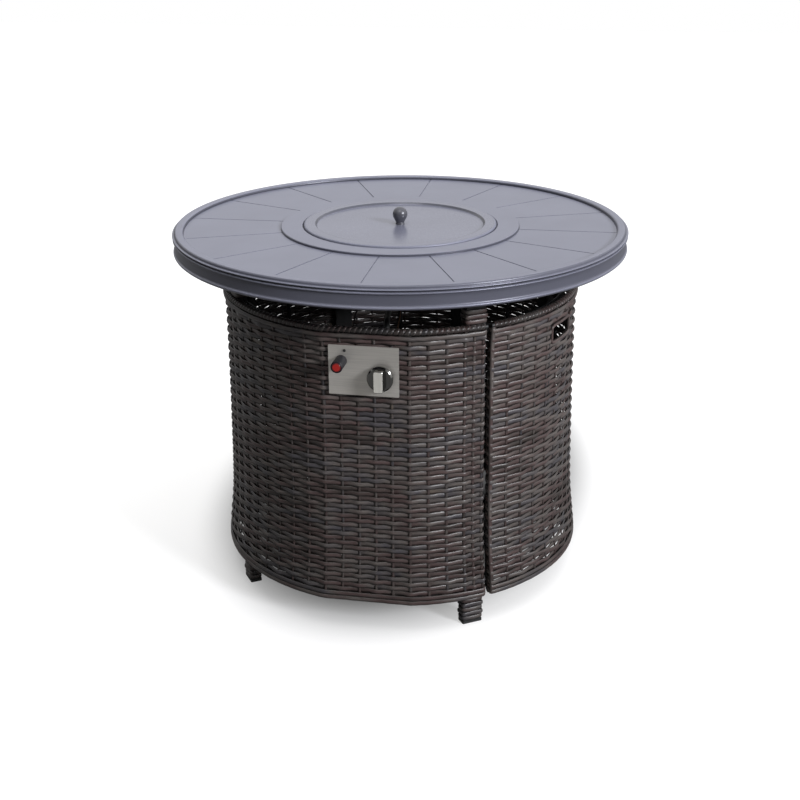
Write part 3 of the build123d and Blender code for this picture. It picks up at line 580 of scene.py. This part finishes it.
nodeFinish = {
    lidMetal: ["lid"],
    knobMetal: ["lid_knob"],
    frameBlack: ["leg_front_right", "leg_rear_right", "leg_rear_left", "leg_front_left",
                 "top_bracket_front_right", "top_bracket_rear_right", "top_bracket_rear_left", "top_bracket_front_left",
                 "upper_ring", "lower_ring", "cross_bar_front", "cross_bar_rear", "tank_tray",
                 "frame_front", "frame_left", "frame_rear", "door_frame", "window_liner", "door_pegs"],
    footBlack: ["foot_cap_front_right", "foot_cap_rear_right", "foot_cap_rear_left", "foot_cap_front_left"],
    plateSteel: ["control_plate"],
    chrome: ["control_knob"],
    darkSteel: ["plate_screw", "feed_tube"],
    bareSteel: ["lid_knob_screw", "top_bolts", "valve_screws", "valve_stem", "strike_plates",
                "igniter_spring", "igniter_lock_nut", "pan_nut", "sensor_bracket"],
    burnerSteel: ["burner_pan", "burner", "mixer_elbow"],
    brass: ["valve_body", "valve_rotor", "inlet_fitting"],
    copper: ["thermocouple"],
    igniterBlack: ["igniter_barrel", "igniter_body"],
    buttonRed: ["igniter_button"],
    ceramic: ["electrode"],
    leadSleeve: ["igniter_lead"],
    magnetGrey: ["door_magnets"],
}
for material, names in nodeFinish.items():
    for name in names:
        mesh = cad[name].data
        mesh.materials.clear()
        mesh.materials.append(material)


print("woven body")
weave = {
    "rows": 57,
    "rowPitch": 0.008566,
    "firstRow": 0.0613,
    "steps": 8,               # points from one stake to the next
    "strandWidth": 0.0086,
    "strandThick": 0.0036,
    "wave": 0.0029,           # how far a strand passes before or behind a stake
    "tight": 0.34,            # how much wider it gets there behind the stake, in the panels closed that way
    "tightRear": 0.165,
    "peak": 0.97,             # 1 is a sharp zigzag, less is rounder
    "frontTurn": (0.0060, 0.0042),      # half the depth, and the reach, of a front strand's turn at a free edge
    "rearTurn": (0.0035, 0.0022),
    "uneven": 0.0016,         # how much a strand wanders up and down
    "unevenScale": (0.35, 3.1),         # how fast, along and across the strands
    "stakeWidth": 0.0056,
    "stakeThick": 0.0018,
    # painted shade: how much the stakes, lying behind the strands, are darkened
    "stakePaintedShade": 0.30,
    "stakePoints": 40,
    "stakeBelow": 0.008,      # how far the stakes end below the wall's top
    "waist": 0.3195,
    "bottom": 0.057,
    "top": 0.5557,
    "facetHalf": 13.4,
    "borderRows": 2,          # plain rows at the bottom
    "borderTop": 1,
    "sagFront": 0.0019,       # how far the rear strands hang, on the near walls and on the far ones
    "sagRear": 0.0009,
    "sagRound": 0.25,
    "sagMiddle": 11.0,        # azimuth from which the walls are seen
}
rimLook = {
    "pitch": 0.0090,          # width of one wrap on the rim
    "overlap": 1.04,
    "points": 14,
    "middle": 0.0051,         # below the wall's top
    "rise": 0.0040,
    "inset": 0.0062,
    "depth": 0.0051,
    "slant": 0.0022,
    "out": 0.003,             # how far the rim's front stands past the waist
}
# the wall's height in mm, and how far it stands outside the waist there
flare = [(57, 13.5), (85, 12), (120, 8), (190, 3), (300, 1), (420, 0), (525, 0.5), (539.7, 3), (555.7, 3)]
holeAt = {"turn": 73.0, "z": 0.500, "width": 0.076, "height": 0.028, "room": 0.002}    # finger hole
windowAt = {"x": -0.002, "z": 0.482, "width": 0.104, "height": 0.072, "within": 30.0}   # behind the plate
doorLook = {
    "bandTurn": 39.35,        # bound edge on the left
    "bandWidth": 0.0088,
    "bandThick": 0.0060,
    "bandBottom": 0.0585,
    "bandTop": 0.548,
    "bandPoints": 60,
    "bandInset": 0.0006,
    "ringWidth": 0.0064,      # bound ring of the finger hole
    "ringThick": 0.0072,
    "ringPoints": 64,
    "ringInset": 0.0004,
    "ringOutset": 0.00128,    # how far its middle line lies outside the hole
    "ringSquare": 1.3,        # 1 is an ellipse, more has straighter sides
    "sides": 10,
}
dyeAt = {                     # where strands other than the weavers lie in the dye's drift along and across rows
    "stakes": 100.0,
    "stakeAlong": 0.37,
    "stakeRows": 7.3,
    "rim": 60.0,
    "wrapAlong": 0.013,
    "turnAlong": 0.003,
    "alike": 9.0,             # wraps of one strand side by side
    "wrapRows": 1.7,
    "band": 300.0,
    "bandDrift": 0.04,
    "ring": 330.0,
    "ringAlong": 0.03,
    "legAlong": 0.018,
    "legApart": 0.01,
}
plainPanel = {"body": "table", "closedTo": 0.6, "closedTurn": 0.0, "facet": (0, 1.0), "right": (0, 1.0),
              "leg": (0, 1.0), "offset": 0, "loopLeft": 0, "loopRight": 0}
panels = {                    # stakes and their pitch in degrees, from each panel's first azimuth
    "wicker_front": {**plainPanel, "start": -56.0, "left": (7, 6.0857), "facet": (5, 5.36), "right": (3, 5.67),
                     "leg": (2, 2.96), "loopRight": 7},
    "wicker_left": {**plainPanel, "start": -146.0, "left": (14, 6.4286)},
    "wicker_rear": {**plainPanel, "start": 121.7, "left": (15, 6.1533), "closedTo": 0.285, "closedTurn": 138.0,
                    "offset": 1, "loopLeft": 7},
    "door_wicker": {**plainPanel, "start": 39.42, "left": (13, 6.089), "body": "door", "loopLeft": 7, "loopRight": 7},
}
degreesOut = 180 / math.pi / weave["waist"]     # degrees of azimuth in a metre round the waist
metresRound = math.pi / 180 * weave["waist"]


def wallRadius(g, z):
    # radius of the wall's outside at a height
    n = g.tree.nodes.new("ShaderNodeFloatCurve")
    low, high, most = flare[0][0], flare[-1][0], max(out for height, out in flare)
    points = n.mapping.curves[0].points
    while len(points) < len(flare):
        points.new(0.5, 0.5)
    for point, (height, out) in zip(points, flare):
        point.location = ((height - low) / (high - low), out / most)
        point.handle_type = "AUTO"
    n.mapping.update()
    g.plug(n.inputs["Value"], (z - weave["bottom"]) / (weave["top"] - weave["bottom"]))
    return g.size("Waist") + Wire(g, n.outputs[0]) * (most / 1000)


def stakeTurn(g, s):
    # azimuth in degrees of a place counted in stakes from the panel's start
    turn = g.size("Start Turn")
    done = 0.0
    for label in ("Left", "Facet", "Right", "Leg"):
        count = g.size(label + " Stakes")
        turn = turn + g.clamp(s - done, 0.0, count) * g.size(label + " Pitch")
        done = count + done
    return turn


def facetScale(g, turn):
    # the plan is a circle with one flat facet at the front
    half = math.radians(weave["facetHalf"])
    inside = g.sum("MINIMUM", g.sum("ABSOLUTE", g.sum("RADIANS", turn)), half)
    return math.cos(half) / g.cosine(inside)


def around(g, turn, radius, tangent, z):
    # point at an azimuth and radius, moved sideways by the tangent
    a = g.sum("RADIANS", turn)
    x = radius * g.sine(a) + tangent * g.cosine(a)
    y = tangent * g.sine(a) - radius * g.cosine(a)
    return g.vector(x, y, z)


def copiesOf(g, shape, count):
    # equal shapes that are put in place later, point by point
    seeds = g.node("GeometryNodeMeshLine", {"Count": count, "Offset": (0.0, 0.0, 0.01)})
    many = g.node("GeometryNodeInstanceOnPoints", {"Points": seeds, "Instance": shape})
    return g.node("GeometryNodeRealizeInstances", {0: many})


def placeIn(g, perRow):
    # each point's place in its row, and the row's number
    index = g.node("GeometryNodeInputIndex")
    row = g.sum("FLOOR", (index + 0.5) / perRow)
    return index - row * perRow, row


def rowsOf(g, perRow, rows):
    # many equal open lines of points
    line = g.node("GeometryNodeMeshLine", {"Count": perRow, "Offset": (0.001, 0.0, 0.0)})
    return (copiesOf(g, line, rows), *placeIn(g, perRow))


def loopsOf(g, perLoop, loops):
    # many equal closed loops of points
    loop = g.node("GeometryNodeMeshCircle", {"Vertices": perLoop, "Radius": 1.0})
    return (copiesOf(g, loop, loops), *placeIn(g, float(perLoop)))


def tubeOf(g, lines, normal, width, thick, sides=8, scale=None):
    # flat oval strand along each line, its face turned to the normal
    curves = g.node("GeometryNodeMeshToCurve", {"Mesh": lines})
    turned = g.node("GeometryNodeSetCurveNormal", {"Curve": curves, "Normal": normal}, mode="FREE")
    ring = g.node("GeometryNodeCurvePrimitiveCircle", {"Resolution": sides, "Radius": 1.0})
    across = g.split(g.position())
    marked = g.store(ring, "across", across[1])
    flat = g.place(marked, g.vector(across[0] * thick * 0.5, across[1] * width * 0.5, 0.0))
    return g.node("GeometryNodeCurveToMesh", {"Curve": turned, "Profile Curve": flat, "Scale": scale,
                                              "Fill Caps": True})


def cutRoom(g, lines):
    # strands stop at the finger hole of the door and behind the control plate
    turn, z = g.named("turn"), g.split(g.position())[2]

    def within(value, middle, reach):
        return g.sum("LESS_THAN", g.sum("ABSOLUTE", value - middle), reach)

    inHole = (within((turn - holeAt["turn"]) * metresRound, 0.0, holeAt["width"] / 2 + holeAt["room"])
              * within(z, holeAt["z"], holeAt["height"] / 2 + holeAt["room"]))
    x = g.sine(g.sum("RADIANS", turn)) * weave["waist"]
    inWindow = (within(x, windowAt["x"], windowAt["width"] / 2) * within(z, windowAt["z"], windowAt["height"] / 2)
                * within(turn, 0.0, windowAt["within"]))
    gone = g.sum("GREATER_THAN", inHole + inWindow, 0.5)
    return g.node("GeometryNodeDeleteGeometry", {"Geometry": lines, "Selection": gone}, domain="POINT")


def doorEdges(g):
    # bound edge on the door's left and a bound ring round its finger hole
    band, level = rowsOf(g, doorLook["bandPoints"], 1)[:2]
    z = doorLook["bandBottom"] + level * ((doorLook["bandTop"] - doorLook["bandBottom"])
                                          / (doorLook["bandPoints"] - 1))
    band = g.store(band, "along", z)
    band = g.store(band, "row", level * dyeAt["bandDrift"] + dyeAt["band"])
    inset = doorLook["bandThick"] / 2 + doorLook["bandInset"]
    band = g.place(band, around(g, doorLook["bandTurn"], wallRadius(g, z) - inset, 0.0, z))
    edge = tubeOf(g, band, g.direction(turnedSpot(doorLook["bandTurn"], 1.0, 0.0)),
                  doorLook["bandWidth"], doorLook["bandThick"], doorLook["sides"])

    ring, place = loopsOf(g, doorLook["ringPoints"], 1)[:2]
    angle = (place + 0.5) * (math.tau / doorLook["ringPoints"])
    outset = doorLook["ringOutset"]
    side = g.boxed(g.cosine(angle), doorLook["ringSquare"]) * (holeAt["width"] / 2 + outset)
    z = holeAt["z"] + g.boxed(g.sine(angle), doorLook["ringSquare"]) * (holeAt["height"] / 2 + outset)
    turn = holeAt["turn"] + side * degreesOut
    ring = g.store(ring, "along", angle * dyeAt["ringAlong"])
    ring = g.store(ring, "row", dyeAt["ring"])
    ring = g.store(ring, "turn", turn)
    inset = doorLook["ringThick"] / 2 + doorLook["ringInset"]
    ring = g.place(ring, around(g, turn, wallRadius(g, z) - inset, 0.0, z))
    bound = tubeOf(g, ring, around(g, g.named("turn"), 1.0, 0.0, 0.0),
                   doorLook["ringWidth"], doorLook["ringThick"], doorLook["sides"])
    return [edge, bound]


def weaversOf(g, stakes, middle):
    # strands that pass before and behind the stakes, and turn back round the free edges
    steps = g.size("Steps")
    whole = stakes * steps
    lines, place, row = rowsOf(g, whole + 1.0 + g.size("Loop Left") + g.size("Loop Right"), g.size("Rows"))
    u = place - g.size("Loop Left")
    past = g.sum("MAXIMUM", u - whole, 0.0) / g.sum("MAXIMUM", g.size("Loop Right"), 1.0)
    before = g.sum("MAXIMUM", 0.0 - u, 0.0) / g.sum("MAXIMUM", g.size("Loop Left"), 1.0)
    bend = (past + before) * math.pi
    side = g.sum("SIGN", u - whole * 0.5)
    s = g.clamp(u / steps, 0.0, stakes)
    turn = stakeTurn(g, s)

    beat = g.cosine((s + g.size("Offset") + row) * math.pi)
    over = g.sum("ARCSINE", beat * weave["peak"]) / math.asin(weave["peak"])
    border = g.sum("MAXIMUM", g.sum("LESS_THAN", row, weave["borderRows"] - 0.5),
                   g.sum("GREATER_THAN", row, g.size("Rows") - (weave["borderTop"] + 0.5)))
    over = over + border * (1.0 - over)
    behind = g.sum("MAXIMUM", 0.0 - over, 0.0)
    front = g.sum("GREATER_THAN", over, 0.0)
    depth, reach = [rear + front * (ahead - rear) for ahead, rear in zip(weave["frontTurn"], weave["rearTurn"])]

    z = g.size("First Row") + row * g.size("Row Pitch") + front * g.sine(bend * 0.5) * g.size("Row Pitch") * 0.5
    alongScale, acrossScale = weave["unevenScale"]
    wobble = g.node("ShaderNodeTexNoise", {"Vector": g.vector(turn * alongScale, row * acrossScale, 0.0),
                                           "Scale": 1.0, "Detail": 1.0})
    seen = g.cosine(g.sum("RADIANS", turn - weave["sagMiddle"]))
    most = weave["sagRear"] + g.sum("GREATER_THAN", seen, 0.0) * (weave["sagFront"] - weave["sagRear"])
    sag = most * (0.0 - seen) / (seen * seen + weave["sagRound"])
    z = z + (wobble - 0.5) * weave["uneven"] + sag * behind
    inward = depth * (1.0 - g.cosine(bend))
    radius = (wallRadius(g, z) - middle + g.size("Wave") * over - inward) * facetScale(g, turn)

    closed = g.sum("MAXIMUM", g.sum("LESS_THAN", z, g.size("Closed To")),
                   g.sum("LESS_THAN", turn, g.size("Closed Turn")))
    tight = weave["tightRear"] + closed * (weave["tight"] - weave["tightRear"])
    lines = g.store(lines, "along", turn * metresRound)
    lines = g.store(lines, "row", row)
    lines = g.store(lines, "turn", turn)
    lines = g.store(lines, "bendOver", bend * side)
    lines = g.store(lines, "wide", 1.0 + tight * behind)
    lines = g.place(lines, around(g, turn, radius, side * g.sine(bend) * reach, z))
    bent = g.named("bendOver")
    return tubeOf(g, cutRoom(g, lines), around(g, g.named("turn"), g.cosine(bent), g.sine(bent), 0.0),
                  g.size("Strand Width"), g.size("Strand Thick"), scale=g.named("wide"))


def stakesOf(g, stakes, middle):
    # flat uprights that the strands pass before and behind
    posts, level, stake = rowsOf(g, weave["stakePoints"], stakes + 1.0)
    z = weave["bottom"] + level * ((weave["top"] - weave["stakeBelow"] - weave["bottom"])
                                   / (weave["stakePoints"] - 1))
    turn = stakeTurn(g, stake)
    posts = g.store(posts, "along", z + stake * dyeAt["stakeAlong"])
    posts = g.store(posts, "row", stake * dyeAt["stakeRows"] + dyeAt["stakes"])
    posts = g.store(posts, "turn", turn)
    # painted shade on the stakes, which lie behind the strands
    posts = g.store(posts, "dim", weave["stakePaintedShade"])
    posts = g.place(posts, around(g, turn, (wallRadius(g, z) - middle) * facetScale(g, turn), 0.0, z))
    return tubeOf(g, cutRoom(g, posts), around(g, g.named("turn"), 1.0, 0.0, 0.0),
                  g.size("Stake Width"), g.size("Stake Thick"), 6)


def rimOf(g, stakes):
    # slanting wraps side by side along the wall's top
    span = stakeTurn(g, stakes) - g.size("Start Turn")
    wraps = g.sum("ROUND", span * metresRound / g.size("Rim Wrap"))
    rings, place, ring = loopsOf(g, rimLook["points"], wraps)
    angle = place * (math.tau / rimLook["points"])
    turn = g.size("Start Turn") + (ring + 0.5) * span / wraps
    z = weave["top"] - rimLook["middle"] + g.sine(angle) * rimLook["rise"]
    inward = rimLook["inset"] - g.cosine(angle) * rimLook["depth"]
    rings = g.store(rings, "along", ring * dyeAt["wrapAlong"] + angle * dyeAt["turnAlong"])
    rings = g.store(rings, "row", g.sum("FLOOR", ring / dyeAt["alike"]) * dyeAt["wrapRows"] + dyeAt["rim"])
    rings = g.store(rings, "turn", turn)
    radius = (weave["waist"] + rimLook["out"] - inward) * facetScale(g, turn)
    rings = g.place(rings, around(g, turn, radius, g.sine(angle) * rimLook["slant"], z))
    return tubeOf(g, rings, around(g, g.named("turn"), 0.0, 1.0, 0.0),
                  g.size("Strand Thick"), g.size("Rim Wrap") * rimLook["overlap"])


def wovenPanel(name, panel):
    # one wall, or the door, as a single mesh
    sizes = {
        "Rows": weave["rows"], "Steps": weave["steps"], "Loop Left": panel["loopLeft"],
        "Loop Right": panel["loopRight"], "Offset": panel["offset"], "Row Pitch": weave["rowPitch"],
        "First Row": weave["firstRow"], "Start Turn": panel["start"], "Waist": weave["waist"],
        "Wave": weave["wave"], "Strand Width": weave["strandWidth"], "Strand Thick": weave["strandThick"],
        "Stake Width": weave["stakeWidth"], "Stake Thick": weave["stakeThick"], "Rim Wrap": rimLook["pitch"],
        "Closed To": panel["closedTo"], "Closed Turn": panel["closedTurn"],
    }
    for label in ("left", "facet", "right", "leg"):
        sizes[label.capitalize() + " Stakes"] = panel[label][0]
        sizes[label.capitalize() + " Pitch"] = panel[label][1]
    g = GeoTree(name, sizes)
    stakes = g.size("Left Stakes") + g.size("Facet Stakes") + g.size("Right Stakes") + g.size("Leg Stakes")
    middle = weave["strandThick"] / 2 + weave["wave"]
    parts = [weaversOf(g, stakes, middle), stakesOf(g, stakes, middle), rimOf(g, stakes)]
    if panel["body"] == "door":
        parts += doorEdges(g)
    joined = g.tree.nodes.new("GeometryNodeJoinGeometry")
    for part in parts:
        g.plug(joined.inputs[0], part)
    piece = g.finishMesh(name + "_weave", Wire(g, joined.outputs[0]), wovenResin)
    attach(piece, panel["body"])
    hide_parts(name)


for name, panel in panels.items():
    wovenPanel(name, panel)


print("leg wraps")
legLook = {
    "turns": {"front_right": 34.0, "rear_right": 124.0, "rear_left": 214.0, "front_left": 304.0},
    "centre": 0.3055,
    "width": 0.034,
    "depth": 0.018,
    "below": 6,               # turns of the wrap below the wall, and above it
    "above": 3,
    "lowest": 0.0105,
    "lowestAbove": 0.5604,
    "pitch": 0.0086,
    "points": 32,
    "square": 1.32,           # 1 is an ellipse, more has straighter sides
    "clear": 0.0012,          # between the leg and the middle of the strand
    "uneven": 0.0007,
}


def legWeave(name, turn):
    # turns of strand round one leg, below the wall and above it
    g = GeoTree(name, {"Rows": legLook["below"] + legLook["above"], "Below": legLook["below"],
                       "Pitch": legLook["pitch"], "Turn": turn, "Centre": legLook["centre"],
                       "Width": legLook["width"], "Depth": legLook["depth"],
                       "Strand Width": weave["strandWidth"], "Strand Thick": weave["strandThick"]})
    rings, place, row = loopsOf(g, legLook["points"], g.size("Rows"))
    angle = (place + 0.5) * (math.tau / legLook["points"])
    lift = g.cosine(row * math.pi) * legLook["uneven"] * g.cosine(angle * 4.0)
    across = g.boxed(g.cosine(angle), legLook["square"]) * (g.size("Width") * 0.5 + legLook["clear"] + lift)
    out = g.boxed(g.sine(angle), legLook["square"]) * (g.size("Depth") * 0.5 + legLook["clear"] + lift)
    above = g.sum("GREATER_THAN", row, g.size("Below") - 0.5)
    z = (legLook["lowest"] + row * g.size("Pitch")
         + above * (legLook["lowestAbove"] - legLook["lowest"] - g.size("Below") * g.size("Pitch")))
    rings = g.store(rings, "along", angle * dyeAt["legAlong"] + turn * dyeAt["legApart"])
    rings = g.store(rings, "row", row + turn)
    rings = g.store(rings, "angle", angle)
    rings = g.place(rings, around(g, g.size("Turn"), g.size("Centre") + out, across, z))
    facing = g.named("angle")
    tube = tubeOf(g, rings, around(g, g.size("Turn"), g.sine(facing), g.cosine(facing), 0.0),
                  g.size("Strand Width"), g.size("Strand Thick"))
    piece = g.finishMesh(name + "_weave", tube, wovenResin)
    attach(piece, "table")
    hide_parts(name)


for place, turn in legLook["turns"].items():
    legWeave("leg_wrap_" + place, turn)


print("moulded edge of the top")
edgeLook = {
    "outside": 0.4065,         # radius
    "top": 0.6550,
    "bottom": 0.6155,
    "inside": 0.3864,          # radius of the step down to the slats
    "innerRound": 0.0045,
    "fold": 0.3990,            # where the rim's flat turns down to the ledge outside it
    "foldRound": 0.0034,
    "ledge": 0.6497,
    "ledgeRound": 0.0009,      # inner corner of the ledge, and how far its middle is from the fold and the ledge
    "ledgeOff": 0.0010,
    "lipRound": 0.0012,        # the ledge's lip outside
    "groove": ((0.0031, 0.0081), (0.0031, 0.0097)),     # each point in from the outside and down from the top
    "ridge": (0.0021, 0.0121, 0.0016),                  # the same for the middle of a round, with its radius
    "band": ((0.0029, 0.0142), (0.0034, 0.0150), (0.0035, 0.0200)),
    "cove": ((0.0036, 0.0090), (0.0035, 0.0074)),       # in from the outside and up from the bottom
    "bead": (0.0031, 0.0035, 0.0023),
    "foot": 0.0036,
    "skirt": ((0.0, 0.0280), (0.0016, 0.0305)),         # in from the skirt's inside and up from the bottom
    "wall": 0.3976,            # radius of the skirt's inside
    "slats": 0.6490,
    "underSlats": 0.0008,      # how far the ring reaches into the casting there
    "cadLines": 0.0018,        # depth of the lines between the slats in the frame's casting, and here
    "lineDepth": 0.0012,
    "tuck": 0.0010,            # how far the casting under the edge is drawn in
    "segments": 360,
    "sharpAngle": 32.0,        # edges that bend more are shaded as creases
    "near": 0.0001,            # heights closer than this count as equal
}


def arcPoints(radius, height, size, start, end, steps):
    # part of a circle in the section, its angles counted in degrees from outward
    turns = [math.radians(start + (end - start) * k / steps) for k in range(steps + 1)]
    return [(radius + size * math.cos(a), height + size * math.sin(a)) for a in turns]


def edgeSection():
    # inner step, flat rim, fold and ledge, groove, small ridge, band, cove, bead and skirt
    out, top, low = edgeLook["outside"], edgeLook["top"], edgeLook["bottom"]
    step, fold, ledge, wall = edgeLook["inside"], edgeLook["fold"], edgeLook["ledge"], edgeLook["wall"]
    inner, foldRound, corner, lip = [edgeLook[k] for k in ("innerRound", "foldRound", "ledgeRound", "lipRound")]
    points = [(step, edgeLook["slats"] - edgeLook["underSlats"])]
    points += arcPoints(step + inner, top - inner, inner, 180, 90, 8)
    points += arcPoints(fold, top - foldRound, foldRound, 90, 6, 9)
    off = edgeLook["ledgeOff"]
    points += arcPoints(fold + foldRound + off, ledge + off, corner, 185, 265, 4)
    points += arcPoints(out - lip, ledge - lip, lip, 85, -80, 10)
    points += [(out - x, top - z) for x, z in edgeLook["groove"]]
    x, z, size = edgeLook["ridge"]
    points += arcPoints(out - x, top - z, size, 85, -60, 9)
    points += [(out - x, top - z) for x, z in edgeLook["band"]]
    points += [(out - x, low + z) for x, z in edgeLook["cove"]]
    x, z, size = edgeLook["bead"]
    points += arcPoints(out - x, low + z, size, 78, -70, 12)
    points += [(out - edgeLook["foot"], low), (wall, low)]
    points += [(wall - x, low + z) for x, z in edgeLook["skirt"]]
    return points


def drawIn(made):
    # the casting's rim and skirt are drawn in under the turned ring, and its lines made less deep
    tuck, near = edgeLook["tuck"], edgeLook["near"]
    for vert in made.verts:
        away = math.hypot(vert.co.x, vert.co.y)
        inRim = away > edgeLook["inside"] - 10 * near and vert.co.z > edgeLook["slats"] + 5 * near
        if inRim or away > edgeLook["wall"] - 10 * near:
            wanted = min(away, edgeLook["fold"] + edgeLook["foldRound"] - 2 * tuck)
            if inRim:
                wanted = max(wanted, edgeLook["inside"] + edgeLook["innerRound"])
            vert.co.x *= wanted / away
            vert.co.y *= wanted / away
            vert.co.z = max(min(vert.co.z, edgeLook["top"] - 2 * tuck), edgeLook["bottom"] + tuck)
        elif abs(vert.co.z - edgeLook["slats"] + edgeLook["cadLines"]) < near:
            vert.co.z = edgeLook["slats"] - edgeLook["lineDepth"]


def turnRing(made):
    # the edge's section turned round the table
    section = edgeSection()
    count = edgeLook["segments"]
    rings = []
    for k in range(count):
        a = 2 * math.pi * k / count
        rings.append([made.verts.new((r * math.cos(a), r * math.sin(a), z)) for r, z in section])
    faces = []
    for k, ring in enumerate(rings):
        following = rings[(k + 1) % count]
        for j in range(len(section)):
            i = (j + 1) % len(section)
            faces.append(made.faces.new((ring[j], following[j], following[i], ring[i])))
    bmesh.ops.recalc_face_normals(made, faces=faces)


def topEdge():
    # the casting with its edge drawn in a little, inside a finely turned ring
    made = bmesh.new()
    made.from_mesh(cad["table_top"].data)
    drawIn(made)
    turnRing(made)
    for face in made.faces:
        face.smooth = True
    mesh = bpy.data.meshes.new("table_top_cast")
    made.to_mesh(mesh)
    made.free()
    mesh.set_sharp_from_angle(angle=math.radians(edgeLook["sharpAngle"]))
    mesh.materials.append(castMetal)
    piece = linkObject(bpy.data.objects.new("table_top_cast", mesh))
    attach(piece, "table")
    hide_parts("table_top")


topEdge()

print("finish")
